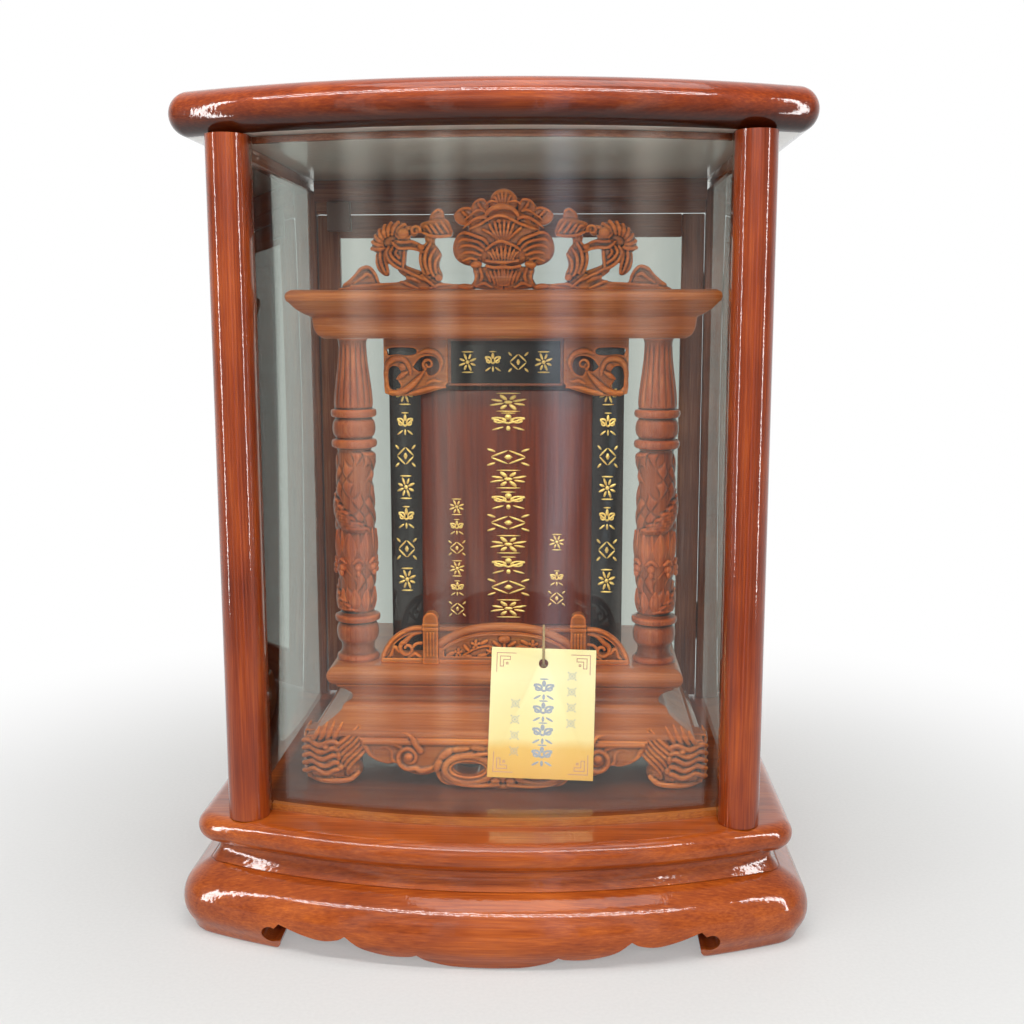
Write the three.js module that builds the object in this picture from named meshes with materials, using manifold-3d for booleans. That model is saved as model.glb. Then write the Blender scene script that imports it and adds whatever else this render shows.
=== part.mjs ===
// A carved ancestral tablet shrine standing in a bow-fronted glazed wooden case.
// Millimetres, +Z up. The origin is the centre of the footprint on the floor, and the front faces -Y.
import * as THREE from 'three';
import { mergeVertices } from 'three/addons/utils/BufferGeometryUtils.js';
import Module from 'manifold-3d';

const wasm = await Module();
wasm.setup();

// Clearances used everywhere
const seat = 0.3;
const overrun = 4;
const grooveDepth = 5;

// Case driving dimensions
const caseHeight = 702;
const caseDepth = 466;
const ledgeWidth = 511;
const ledgeThickness = 24;
const ledgeCorner = 26;
const bowRadius = 590;
const baseHeight = 102;
const mouldingHeight = 18;
const mouldingInset = 17;
const footSwell = 15;
const apronWall = 24;
const topWidth = 518;
const topCorner = 18;
const topThickness = 36;
const topSetback = 10;
const topRearInset = 5;

// Base apron edge, from the centre of a side to the inner end of its scroll foot
const scallopRise = 27;
const scallopLift = 1;
const frontScallopHalf = 174;
const scrollRadius = 8;
const scrollHeight = 16;
const toeHeight = 10;
const toeCurl = 8;
const sideFootLength = 78;

// Posts, glass and rails of the case
const postWidth = 34;
const postSpan = 416;
const postSetback = 62;
const glassSetback = 41;
const glassBowRadius = 600;
const paneThickness = 4;
const sidePaneOffset = 6;
const rearPostWidth = 20;
const rearPostDepth = 21;
const rearPostOffset = 9;
const rearPostInset = 18;
const beadWidth = 6;
const beadHeight = 5;
const sideRailWidth = 14;
const sideRailHeight = 12;
const rearRailHeight = 34;
const rearRailBand = 12;
const rearRailProjection = 10;
const blockSize = 6;
const blockHeight = 13;
const blockLift = 30;

// Glazed rear door
const doorThickness = 18;
const doorSideGap = 1.5;
const doorFootGap = 3;
const doorHeadGap = 2;
const stileWidth = 23;
const doorHeadRail = 23;
const doorFootRail = 40;
const doorPane = 3;
const knobRadius = 7;
const knobLength = 14;
const knobDrop = 20;
const hingeLength = 40;
const hingeLeafWidth = 14;
const hingeLeaf = 1.5;
const hingeBarrel = 3;
const hingePin = 1.3;
const pinPlay = 0.2;
const hingeEndDistance = 60;
const catchWidth = 24;
const catchHeight = 30;
const catchDepth = 12;
const catchInset = 14;
const strikeHeight = 14;

// Stand of the tablet shrine
const shrineX = 6;
const shrineY = 8;
const standWidth = 372;
const standDepth = 184;
const standApronHeight = 46;
const standApronWall = 16;
const standApronInset = 7;
const lotusBulge = 8;
const standFootWidth = 56;
const standFootDepth = 44;
const standFootHeight = 46;
const standFootInset = 4;
const plinthHeight = 43;
const plinthWaist = 20;
const standTopThickness = 18;
const standTopInset = 10;
const standTopSideInset = 25;
const standTopRearInset = 6;

// Railing in front of the tablet
const railingSetback = 19;
const newelSpan = 134;
const newelWidth = 14;
const newelHeight = 48;
const archHeight = 38;
const archShoulder = 21;
const capRadius = 4;
const railPanelThickness = 6;
const wingClearance = 3.6;
const wingHeight = 34;
const wingThickness = 7;

// Columns
const columnSpan = 273;
const columnSetback = 34;
const columnRadius = 19;
const columnGirthShare = 1.1;

// Tablet between the columns
const tabletSetback = 60;
const tabletHalfWidth = 79;
const cheekWidth = 29;
const cheekDepth = 20;
const backThickness = 12;
const sillHeight = 24;
const boardThickness = 6;
const boardSetback = 7;
const boardHeadroom = 47.7;
const boardLift = 34;
const boardPlay = 0.4;
const slipWidth = 120;
const slipShortfall = 42;
const slipThickness = 4;
const plaqueHalfWidth = 52;
const plaqueHeight = 43;
const plaqueThickness = 9;
const bracketLength = 59;
const bracketHeight = 49;
const bracketRim = 7;

// Roof and crown
const roofWidth = 374;
const roofDepth = 130;
const roofHeight = 42;
const crownSetback = 32;
const crownHeight = 87;
const crownHeadroom = 32.2;
const crownHalfWidth = 150;
const crownThickness = 12;
const lotusThickness = 20;
const lotusHalfWidth = 38;

// Card label and its string
const labelX = 36;
const cardWidth = 94;
const cardHeight = 115.5;
const cardThickness = 1;
const cardTilt = THREE.MathUtils.degToRad(17.5);
const cardRoll = THREE.MathUtils.degToRad(1.4);
const cardTopRise = 27.5;
const cardHoleRadius = 4.2;
const cardHoleDrop = 13.5;
const stringRadius = 1.2;
const stringPlay = 0.5;
const stringWrap = 149;
const stringBend = 4.8;

// Fineness of the curves
const bowSteps = 20;
const cornerSteps = 5;
const noseSteps = 6;
const curveSegments = 8;
const scrollSteps = 7;

const apronFrontY = -caseDepth / 2;
const ledgeFrontY = apronFrontY + footSwell;
const caseRearY = caseDepth / 2;
const topUnderside = caseHeight - topThickness;
const boardUnderside = baseHeight - ledgeThickness;
const mouldingTop = boardUnderside - seat;
const mouldingFoot = mouldingTop - mouldingHeight;
const apronTop = mouldingFoot - seat;

const ledgePlan = {
  halfWidth: ledgeWidth / 2,
  front: ledgeFrontY,
  rear: caseRearY,
  radius: bowRadius,
  corner: ledgeCorner,
};
const topPlan = {
  halfWidth: topWidth / 2,
  front: ledgeFrontY + topSetback,
  rear: caseRearY - topRearInset,
  radius: bowRadius,
  corner: topCorner,
};

const postX = postSpan / 2;
const postY = ledgeFrontY + postSetback;
const postInnerX = postX - postWidth / 2;
const postRearY = postY + postWidth / 2;
const rearPostX = postX + rearPostOffset;
const rearPostInnerX = rearPostX - rearPostWidth / 2;
const rearFaceY = caseRearY - rearPostInset;
const rearPostFrontY = rearFaceY - rearPostDepth;
const sidePaneX = postX + sidePaneOffset;
const glassFrontY = ledgeFrontY + glassSetback;
const glassCentreY = glassFrontY + glassBowRadius;
const paneBackRadius = glassBowRadius - paneThickness;

// Shapes in plan

function bowCorner(plan) {
  const bowCentreY = plan.front + plan.radius;
  const reach = plan.radius - plan.corner;
  const x = plan.halfWidth - plan.corner;
  const y = bowCentreY - Math.sqrt(reach ** 2 - x ** 2);
  return { x, y, bowCentreY, bowAngle: Math.asin(x / reach) };
}

function arcPoints(centreX, centreY, radius, start, end, steps) {
  const points = [];
  for (let step = 0; step <= steps; step += 1) {
    const angle = start + ((end - start) * step) / steps;
    points.push(new THREE.Vector2(centreX + radius * Math.cos(angle), centreY + radius * Math.sin(angle)));
  }
  return points;
}

// Bowed front, round front corners, straight sides and a straight rear that growth leaves in place
function bowOutline(plan, grow) {
  const { x, y, bowCentreY, bowAngle } = bowCorner(plan);
  const down = -Math.PI / 2;
  const corner = plan.corner + grow;
  const bow = arcPoints(0, bowCentreY, plan.radius + grow, down - bowAngle, down + bowAngle, bowSteps);
  const right = arcPoints(x, y, corner, down + bowAngle, 0, cornerSteps).slice(1);
  const left = arcPoints(-x, y, corner, -Math.PI, down - bowAngle, cornerSteps).slice(0, -1);
  const rear = [
    new THREE.Vector2(plan.halfWidth + grow, plan.rear),
    new THREE.Vector2(-plan.halfWidth - grow, plan.rear),
  ];
  return [...bow, ...right, ...rear, ...left];
}

// Mitred rectangle whose rear stays in place
function squareOutline(plan, grow) {
  const side = plan.halfWidth + grow;
  const front = plan.front - grow;
  return [
    new THREE.Vector2(-side, front),
    new THREE.Vector2(side, front),
    new THREE.Vector2(side, plan.rear),
    new THREE.Vector2(-side, plan.rear),
  ];
}

// Band between two concentric bowed lines, cut square at its ends
function bowBand(frontRadius, backRadius, halfSpan) {
  const front = [];
  const back = [];
  for (let step = 0; step <= bowSteps; step += 1) {
    const x = -halfSpan + (2 * halfSpan * step) / bowSteps;
    front.push(new THREE.Vector2(x, glassCentreY - Math.sqrt(frontRadius ** 2 - x ** 2)));
    back.unshift(new THREE.Vector2(x, glassCentreY - Math.sqrt(backRadius ** 2 - x ** 2)));
  }
  return [...front, ...back];
}

// Bodies from outlines

// Closed body through level outlines of equal point count, lowest level first
function stack(levels) {
  const count = levels[0].outline.length;
  const positions = [];
  for (const { outline, z } of levels) {
    for (const point of outline) positions.push(point.x, point.y, z);
  }
  const index = [];
  for (let level = 0; level + 1 < levels.length; level += 1) {
    for (let i = 0; i < count; i += 1) {
      const low = level * count + i;
      const next = level * count + ((i + 1) % count);
      index.push(low, next, next + count, low, next + count, low + count);
    }
  }
  const last = (levels.length - 1) * count;
  const floor = THREE.ShapeUtils.triangulateShape(levels[0].outline, []);
  const roof = THREE.ShapeUtils.triangulateShape(levels[levels.length - 1].outline, []);
  for (const [a, b, c] of floor) index.push(a, c, b);
  for (const [a, b, c] of roof) index.push(last + a, last + b, last + c);
  const geometry = new THREE.BufferGeometry();
  geometry.setAttribute('position', new THREE.Float32BufferAttribute(positions, 3));
  geometry.setIndex(index);
  return geometry;
}

// Levels of a moulding from [height share, growth share] pairs
function mouldingLevels(outlineOf, plan, shares, bottom, height, reach) {
  return shares.map(([heightShare, growthShare]) => ({
    outline: outlineOf(plan, growthShare * reach),
    z: bottom + heightShare * height,
  }));
}

// Half-round nose: its widest line is the plan itself
function noseLevels(outlineOf, plan, bottom, thickness) {
  const radius = thickness / 2;
  const levels = [];
  for (let step = 0; step <= noseSteps; step += 1) {
    const angle = -Math.PI / 2 + (Math.PI * step) / noseSteps;
    levels.push({
      outline: outlineOf(plan, radius * Math.cos(angle) - radius),
      z: bottom + radius + radius * Math.sin(angle),
    });
  }
  return levels;
}

function prism(points, bottom, top) {
  const options = { depth: top - bottom, bevelEnabled: false };
  return new THREE.ExtrudeGeometry(new THREE.Shape(points), options).translate(0, 0, bottom);
}

// A shape drawn in X and Z, given thickness along Y
function plateAlongY(shape, front, rear) {
  const options = { depth: rear - front, bevelEnabled: false, curveSegments };
  const geometry = new THREE.ExtrudeGeometry(shape, options);
  return geometry.rotateX(Math.PI / 2).translate(0, rear, 0);
}

// A shape drawn in Y and Z, given thickness along X
function plateAlongX(shape, start, end) {
  const options = { depth: end - start, bevelEnabled: false, curveSegments };
  const geometry = new THREE.ExtrudeGeometry(shape, options);
  const turn = new THREE.Matrix4().makeBasis(
    new THREE.Vector3(0, 1, 0),
    new THREE.Vector3(0, 0, 1),
    new THREE.Vector3(1, 0, 0),
  );
  return geometry.applyMatrix4(turn).translate(start, 0, 0);
}

function block(x0, x1, y0, y1, z0, z1) {
  const geometry = new THREE.BoxGeometry(x1 - x0, y1 - y0, z1 - z0);
  return geometry.translate((x0 + x1) / 2, (y0 + y1) / 2, (z0 + z1) / 2);
}

// Upright cylinder with its foot at a height
function upright(radius, x, y, bottom, top, sides) {
  const geometry = new THREE.CylinderGeometry(radius, radius, top - bottom, sides);
  return geometry.rotateX(Math.PI / 2).translate(x, y, (bottom + top) / 2);
}

function bareGeometry(geometry) {
  const bare = geometry.clone();
  bare.deleteAttribute('normal');
  bare.deleteAttribute('uv');
  return mergeVertices(bare);
}

function mirrored(geometry) {
  const copy = bareGeometry(geometry);
  copy.scale(-1, 1, 1);
  const index = copy.index.array;
  for (let i = 0; i < index.length; i += 3) [index[i + 1], index[i + 2]] = [index[i + 2], index[i + 1]];
  return copy;
}

function toSolid(geometry) {
  const bare = bareGeometry(geometry);
  const vertProperties = new Float32Array(bare.attributes.position.array);
  const triVerts = new Uint32Array(bare.index.array);
  return new wasm.Manifold(new wasm.Mesh({ numProp: 3, vertProperties, triVerts }));
}

function toGeometry(solid) {
  const mesh = solid.getMesh();
  const geometry = new THREE.BufferGeometry();
  geometry.setAttribute('position', new THREE.BufferAttribute(new Float32Array(mesh.vertProperties), 3));
  geometry.setIndex(new THREE.BufferAttribute(new Uint32Array(mesh.triVerts), 1));
  return geometry;
}

function cut(geometry, ...cutters) {
  return toGeometry(cutters.reduce((solid, cutter) => solid.subtract(toSolid(cutter)), toSolid(geometry)));
}

function keep(geometry, keeper) {
  return toGeometry(toSolid(geometry).intersect(toSolid(keeper)));
}

function join(...geometries) {
  return toGeometry(geometries.map(toSolid).reduce((whole, solid) => whole.add(solid)));
}

// Finishes

const finishes = {
  lacquer: { color: 0x8c3310, roughness: 0.18, metalness: 0 },
  darkLacquer: { color: 0x4a160a, roughness: 0.22, metalness: 0 },
  rawBead: { color: 0xb5651d, roughness: 0.6, metalness: 0 },
  glass: { color: 0xdfe9e2, roughness: 0.05, metalness: 0, transparent: true, opacity: 0.25 },
  paleWood: { color: 0xd8cfae, roughness: 0.6, metalness: 0 },
  blackLacquer: { color: 0x17110f, roughness: 0.15, metalness: 0 },
  redBoard: { color: 0x5a1d08, roughness: 0.2, metalness: 0 },
  brass: { color: 0xb08d3e, roughness: 0.3, metalness: 1 },
  steel: { color: 0x8a8a88, roughness: 0.35, metalness: 1 },
  card: { color: 0xf6e3a0, roughness: 0.6, metalness: 0 },
  jute: { color: 0x8a6a35, roughness: 0.9, metalness: 0 },
};

const shrineCase = new THREE.Group();
const shrine = new THREE.Group();
shrine.position.set(shrineX, shrineY, baseHeight + seat);
shrineCase.add(shrine);

function addPart(group, name, geometry, finish) {
  const mesh = new THREE.Mesh(geometry, new THREE.MeshStandardMaterial(finishes[finish]));
  mesh.name = name;
  group.add(mesh);
  return mesh;
}

function addPair(group, stem, rightGeometry, finish) {
  addPart(group, `${stem}_right`, rightGeometry, finish);
  addPart(group, `${stem}_left`, mirrored(rightGeometry), finish);
}

// Glass panes and the grooves they stand in

const frontPaneHalf = postInnerX + grooveDepth - seat;
const paneFoot = baseHeight - grooveDepth + seat;
const frontPaneTop = topUnderside + grooveDepth - seat;
const sideRailFoot = topUnderside - seat - sideRailHeight;
const sidePaneTop = sideRailFoot + grooveDepth - seat;
const sidePaneFrontY = postRearY - grooveDepth + seat;
const sidePaneRearY = rearPostFrontY + grooveDepth - seat;

function frontPane(clearance) {
  const points = bowBand(glassBowRadius + clearance, paneBackRadius - clearance, frontPaneHalf + clearance);
  return prism(points, paneFoot - clearance, frontPaneTop + clearance);
}

function sidePane(side, clearance) {
  const half = paneThickness / 2 + clearance;
  const x = side * sidePaneX;
  const front = sidePaneFrontY - clearance;
  const rear = sidePaneRearY + clearance;
  return block(x - half, x + half, front, rear, paneFoot - clearance, sidePaneTop + clearance);
}

function addGlass() {
  addPart(shrineCase, 'glass_front', frontPane(0), 'glass');
  addPart(shrineCase, 'glass_right', sidePane(1, 0), 'glass');
  addPart(shrineCase, 'glass_left', sidePane(-1, 0), 'glass');
}

// Base

const mouldingShares = [[0, -0.62], [0.2, -0.78], [0.5, -1], [0.8, -1], [1, -0.9]];
const skirtShares = [
  [0, 0.2], [0.13, 0.55], [0.3, 0.92], [0.48, 1], [0.66, 0.82], [0.8, 0.45], [0.91, -0.1], [1, -0.62],
];

function innerPlan(wall) {
  return {
    halfWidth: ledgePlan.halfWidth - wall,
    front: ledgePlan.front + wall,
    rear: ledgePlan.rear - wall,
    radius: bowRadius - wall,
    corner: ledgeCorner / 2,
  };
}

// Half of the scalloped edge as [distance share, height share] from the centre lobe out to the foot
const scallopHalfShares = [
  [0, 0], [0.16, 0.06], [0.28, 0.24], [0.33, 0.45], [0.37, 0.36], [0.47, 0.34], [0.59, 0.54], [0.67, 0.9],
  [0.71, 0.75], [0.79, 0.66], [0.89, 0.78], [1, 1],
];

const scrollTurn = { start: Math.PI * 0.65, end: -Math.PI * 0.72 };

function scallopShape(half, drop) {
  const edge = scallopHalfShares.map(([distanceShare, heightShare]) => (
    new THREE.Vector2(distanceShare * half, scallopLift + heightShare * scallopRise)
  ));
  const turns = arcPoints(
    half + scrollRadius, scrollHeight, scrollRadius, scrollTurn.start, scrollTurn.end, scrollSteps,
  );
  const toe = [new THREE.Vector2(half, toeHeight), new THREE.Vector2(half + toeCurl / 4, toeHeight / 3)];
  const foot = [new THREE.Vector2(half + toeCurl, 0), new THREE.Vector2(half + toeCurl, -drop)];
  const right = [...edge, ...turns, ...toe, ...foot];
  const left = right.slice(1).reverse().map((point) => new THREE.Vector2(-point.x, point.y));
  return new THREE.Shape([...right.reverse(), ...left.reverse()].reverse());
}

// Keeps what lies in front of the two mitres, pulled in or out by a gap
function frontMitreWedge(gap) {
  const { x, y, bowCentreY } = bowCorner(ledgePlan);
  const bowNormal = new THREE.Vector2(x, y - bowCentreY).normalize();
  const mitre = bowNormal.add(new THREE.Vector2(1, 0)).normalize();
  const across = new THREE.Vector2(-mitre.y, mitre.x).multiplyScalar(gap);
  const outer = new THREE.Vector2(x, y).addScaledVector(mitre, ledgeWidth / 2).add(across);
  const inner = new THREE.Vector2(x, y).addScaledVector(mitre, -apronWall * 2).add(across);
  const ahead = apronFrontY - ledgeWidth / 2;
  return prism([
    new THREE.Vector2(-inner.x, inner.y),
    new THREE.Vector2(-outer.x, outer.y),
    new THREE.Vector2(-outer.x, ahead),
    new THREE.Vector2(outer.x, ahead),
    outer,
    inner,
  ], -overrun, baseHeight);
}

function addBase() {
  const boardLevels = noseLevels(bowOutline, ledgePlan, boardUnderside, ledgeThickness);
  const board = cut(stack(boardLevels), frontPane(seat), sidePane(1, seat), sidePane(-1, seat));
  addPart(shrineCase, 'base_board', board, 'lacquer');

  const mouldingSolid = stack(
    mouldingLevels(bowOutline, ledgePlan, mouldingShares, mouldingFoot, mouldingHeight, mouldingInset),
  );
  const mouldingHole = bowOutline(innerPlan(mouldingInset + apronWall), 0);
  const moulding = cut(mouldingSolid, prism(mouldingHole, mouldingFoot - overrun, mouldingTop + overrun));
  addPart(shrineCase, 'base_moulding', moulding, 'lacquer');

  const skirtSolid = stack(mouldingLevels(bowOutline, ledgePlan, skirtShares, 0, apronTop, footSwell));
  const hollow = prism(bowOutline(innerPlan(apronWall), 0), -overrun, apronTop + overrun);
  const frontEdge = scallopShape(frontScallopHalf, overrun);
  const sideMiddleY = (ledgeFrontY + caseRearY) / 2;
  const sideEdge = scallopShape((caseRearY - ledgeFrontY) / 2 - sideFootLength, overrun);
  const lengthways = plateAlongY(frontEdge, apronFrontY - overrun, caseRearY + overrun);
  const reach = ledgePlan.halfWidth + footSwell + overrun;
  const sideways = plateAlongX(sideEdge, -reach, reach).translate(0, sideMiddleY, 0);
  const skirt = cut(skirtSolid, hollow, lengthways, sideways);
  addPart(shrineCase, 'apron_front', keep(skirt, frontMitreWedge(0)), 'lacquer');

  const innerX = ledgePlan.halfWidth - apronWall;
  const tall = [-overrun, apronTop + overrun];
  const rearBox = block(-innerX + seat, innerX - seat, 0, caseRearY + overrun, ...tall);
  addPart(shrineCase, 'apron_rear', keep(skirt, rearBox), 'darkLacquer');
  const sideBox = block(innerX, reach, apronFrontY - overrun, caseRearY + overrun, ...tall);
  const side = cut(keep(skirt, join(sideBox, cornerFill())), frontMitreWedge(seat));
  addPair(shrineCase, 'apron', side, 'lacquer');
}

// The piece of a side apron that reaches inwards behind the mitre
function cornerFill() {
  const { x, y } = bowCorner(ledgePlan);
  const [x0, x1] = [x - apronWall * 2, x + overrun * 2];
  return block(x0, x1, y - apronWall * 2, y + apronWall, -overrun, apronTop + overrun);
}

// Top

function addTop() {
  const board = stack(noseLevels(bowOutline, topPlan, topUnderside, topThickness));
  addPart(shrineCase, 'top_board', cut(board, frontPane(seat)), 'lacquer');
  const beadOuter = paneBackRadius - seat;
  const bead = bowBand(beadOuter, beadOuter - beadWidth, postInnerX - seat);
  const headTop = topUnderside - seat;
  addPart(shrineCase, 'head_bead_front', prism(bead, headTop - beadHeight, headTop), 'darkLacquer');
  const sillFoot = baseHeight + seat;
  addPart(shrineCase, 'sill_bead_front', prism(bead, sillFoot, sillFoot + beadHeight), 'rawBead');
}

// Posts and rails

const postArcStart = -Math.PI;
const postArcEnd = Math.PI / 2;
const postArcSteps = 24;

// Round to the front and outside, square at the inner rear corner
function postOutline() {
  const radius = postWidth / 2;
  const round = [];
  for (let step = 0; step <= postArcSteps; step += 1) {
    const angle = postArcStart + ((postArcEnd - postArcStart) * step) / postArcSteps;
    round.push(new THREE.Vector2(postX + radius * Math.cos(angle), postY + radius * Math.sin(angle)));
  }
  return [...round, new THREE.Vector2(postX - radius, postY + radius)];
}

function addPosts() {
  const foot = baseHeight + seat;
  const head = topUnderside - seat;
  const front = cut(prism(postOutline(), foot, head), frontPane(seat), sidePane(1, seat));
  addPair(shrineCase, 'post_front', front, 'lacquer');
  const half = rearPostWidth / 2;
  const rear = block(rearPostX - half, rearPostX + half, rearPostFrontY, rearFaceY, foot, head);
  addPair(shrineCase, 'post_rear', cut(rear, sidePane(1, seat)), 'darkLacquer');
}

const rearRailTop = topUnderside - seat;
const rearRailFoot = rearRailTop - rearRailHeight;
const rearBandTop = rearRailFoot + rearRailBand;

function addRails() {
  const half = sideRailWidth / 2;
  const head = topUnderside - seat;
  const front = postRearY + seat;
  const rear = rearPostFrontY - seat;
  const side = block(sidePaneX - half, sidePaneX + half, front, rear, sideRailFoot, head);
  addPair(shrineCase, 'head_rail', cut(side, sidePane(1, seat)), 'darkLacquer');

  const noseY = rearPostFrontY - rearRailProjection;
  const nose = rearRailProjection / 2;
  const profile = new THREE.Shape();
  profile.moveTo(rearFaceY, rearRailFoot);
  profile.lineTo(rearFaceY, rearRailTop);
  profile.lineTo(noseY, rearRailTop);
  profile.lineTo(noseY, rearBandTop + nose);
  profile.quadraticCurveTo(noseY, rearBandTop, noseY + nose, rearBandTop);
  profile.lineTo(rearPostFrontY, rearBandTop);
  profile.lineTo(rearPostFrontY, rearRailFoot);
  const reach = rearPostInnerX - seat;
  addPart(shrineCase, 'head_rail_rear', plateAlongX(profile, -reach, reach), 'darkLacquer');
}

// Small pale blocks that wedge the side panes behind the front posts
function addGlassBlocks() {
  const x1 = sidePaneX - paneThickness / 2 - seat;
  const foot = baseHeight + blockLift;
  const front = postRearY + seat;
  const piece = block(x1 - blockSize, x1, front, front + blockSize, foot, foot + blockHeight);
  addPair(shrineCase, 'glass_block', piece, 'paleWood');
}

// Rear door

const doorFrontY = rearFaceY - doorThickness;
const doorFoot = baseHeight + doorFootGap;
const doorHead = rearRailFoot - doorHeadGap;
const doorHalf = rearPostInnerX - doorSideGap;
const stileInnerX = doorHalf - stileWidth;
const doorPaneY = (doorFrontY + rearFaceY) / 2;

function doorGlass(clearance) {
  const x = stileInnerX + grooveDepth - seat + clearance;
  const half = doorPane / 2 + clearance;
  const foot = doorFoot + doorFootRail - grooveDepth + seat - clearance;
  const head = doorHead - doorHeadRail + grooveDepth - seat + clearance;
  return block(-x, x, doorPaneY - half, doorPaneY + half, foot, head);
}

function addDoor() {
  const stile = block(stileInnerX, doorHalf, doorFrontY, rearFaceY, doorFoot, doorHead);
  addPair(shrineCase, 'door_stile', cut(stile, doorGlass(seat)), 'darkLacquer');
  const reach = stileInnerX - seat;
  const head = block(-reach, reach, doorFrontY, rearFaceY, doorHead - doorHeadRail, doorHead);
  addPart(shrineCase, 'door_rail_top', cut(head, doorGlass(seat)), 'darkLacquer');
  const foot = block(-reach, reach, doorFrontY, rearFaceY, doorFoot, doorFoot + doorFootRail);
  addPart(shrineCase, 'door_rail_bottom', cut(foot, doorGlass(seat)), 'darkLacquer');
  addPart(shrineCase, 'door_glass', doorGlass(0), 'glass');
  addKnob();
}

const knobShares = [[0, 0], [0.55, 0], [0.5, 0.3], [0.6, 0.45], [1, 0.6], [0.95, 0.85], [0.6, 1], [0, 1]];

function addKnob() {
  const profile = knobShares.map(([radiusShare, lengthShare]) => (
    new THREE.Vector2(radiusShare * knobRadius, lengthShare * knobLength)
  ));
  const knob = new THREE.LatheGeometry(profile, 14);
  const x = -(stileInnerX + doorHalf) / 2;
  const z = (doorFoot + doorHead) / 2 - knobDrop;
  addPart(shrineCase, 'door_knob', knob.translate(x, rearFaceY + seat, z), 'brass');
}

// Butt hinges on the right: the case leaf holds the middle knuckle, the door leaf the other two

const hingeX = rearPostInnerX - doorSideGap / 2;
const hingeY = rearFaceY + seat + hingeBarrel;
const knuckleSides = 14;

function hingeLevels(foot) {
  const knuckle = hingeLength / 3;
  return { foot, low: foot + knuckle, high: foot + knuckle * 2, head: foot + hingeLength };
}

function leafBlock(side, foot, head) {
  const end = hingeX + side * hingeLeafWidth;
  const [x0, x1] = side > 0 ? [hingeX, end] : [end, hingeX];
  return block(x0, x1, rearFaceY + seat, rearFaceY + seat + hingeLeaf, foot, head);
}

function pinHole(foot, head) {
  return upright(hingePin + pinPlay, hingeX, hingeY, foot - overrun, head + overrun, knuckleSides);
}

function knuckleRoom(foot, head) {
  return upright(hingeBarrel + seat, hingeX, hingeY, foot, head, knuckleSides);
}

function addHinge(stem, foot0) {
  const { foot, low, high, head } = hingeLevels(foot0);
  const barrel = (start, end) => upright(hingeBarrel, hingeX, hingeY, start, end, knuckleSides);
  const caseWhole = join(barrel(low + seat, high - seat), leafBlock(1, foot, head));
  const caseLeaf = cut(
    caseWhole,
    knuckleRoom(foot - overrun, low + seat),
    knuckleRoom(high - seat, head + overrun),
    pinHole(foot, head),
  );
  addPart(shrineCase, `hinge_${stem}_case_leaf`, caseLeaf, 'brass');
  const doorWhole = join(barrel(foot, low), barrel(high, head), leafBlock(-1, foot, head));
  const doorLeaf = cut(doorWhole, knuckleRoom(low, high), pinHole(foot, head));
  addPart(shrineCase, `hinge_${stem}_door_leaf`, doorLeaf, 'brass');
  const pin = upright(hingePin, hingeX, hingeY, foot - hingePin, head + hingePin, knuckleSides);
  addPart(shrineCase, `hinge_${stem}_pin`, pin, 'steel');
}

function addCatch() {
  const x1 = -(rearPostInnerX - catchInset);
  const rear = rearPostFrontY - seat;
  const front = rear - catchDepth;
  const head = rearBandTop - seat;
  const body = block(x1, x1 + catchWidth, front, rear, head - catchHeight, head);
  addPart(shrineCase, 'catch_magnet', body, 'darkLacquer');
  const foot = head - catchHeight;
  const strike = block(x1, x1 + catchWidth, rear + seat, doorFrontY - seat, foot, foot + strikeHeight);
  addPart(shrineCase, 'catch_strike', strike, 'steel');
}

// Stand of the tablet shrine, in the shrine's own frame: its feet stand at height zero

const standHalf = standWidth / 2;
const standFrontY = -standDepth / 2;
const standRearY = standDepth / 2;
const standPlan = {
  halfWidth: standHalf - standApronInset,
  front: standFrontY + standApronInset,
  rear: standRearY,
};
const plinthFoot = standApronHeight + seat;
const standTopFoot = plinthFoot + plinthHeight + seat;
const standTop = standTopFoot + standTopThickness;
const deck = standTop + seat;
const crownHead = topUnderside - crownHeadroom - baseHeight - seat;
const roofTop = crownHead - crownHeight - seat;
const roofFoot = roofTop - roofHeight;
const tabletHead = roofFoot - seat;
const columnHeight = tabletHead - deck;
const boardHeight = columnHeight - sillHeight - seat - boardHeadroom;
const slipHeight = boardHeight - slipShortfall;
const standTopPlan = {
  halfWidth: standHalf - standTopSideInset,
  front: standFrontY + standTopInset,
  rear: standRearY - standTopRearInset,
};
const standSkirtShares = [[0, 0.5], [0.15, 0.85], [0.35, 1], [0.6, 0.85], [0.8, 0.35], [1, -0.6]];
const plinthShares = [
  [0, 0.5], [0.08, 0.5], [0.12, 0.42], [0.2, 0.1], [0.32, -0.3], [0.42, -0.55], [0.5, -0.62], [0.55, -0.72],
  [0.6, -0.95], [0.64, -1], [0.7, -1], [0.76, -0.92], [0.86, -0.7], [0.95, -0.42], [1, -0.35],
];

// Half of the carved front apron edge: a lotus drop in the middle, then waves out to the foot
const lotusDropShares = [
  [0, 0], [0.18, 0.02], [0.36, 0.06], [0.43, 0.2], [0.44, 0.34], [0.54, 0.3], [0.62, 0.36], [0.72, 0.5],
  [0.8, 0.48], [0.9, 0.56], [1, 0.62],
];
const standScoopShare = 0.5;
const lotusBulgeShares = { centre: 0.36, width: 0.46, height: 0.5 };
const lotusHoleShares = { x: 0.24, z: 0.4, width: 0.11, height: 0.13 };

function standFrontEdge(half) {
  const right = lotusDropShares.map(([distanceShare, heightShare]) => (
    new THREE.Vector2(distanceShare * half, heightShare * standApronHeight)
  ));
  const left = right.slice(1).reverse().map((point) => new THREE.Vector2(-point.x, point.y));
  const low = -overrun;
  const ends = [new THREE.Vector2(half, low), new THREE.Vector2(-half, low)];
  return new THREE.Shape([...left, ...right, ...ends]);
}

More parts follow.
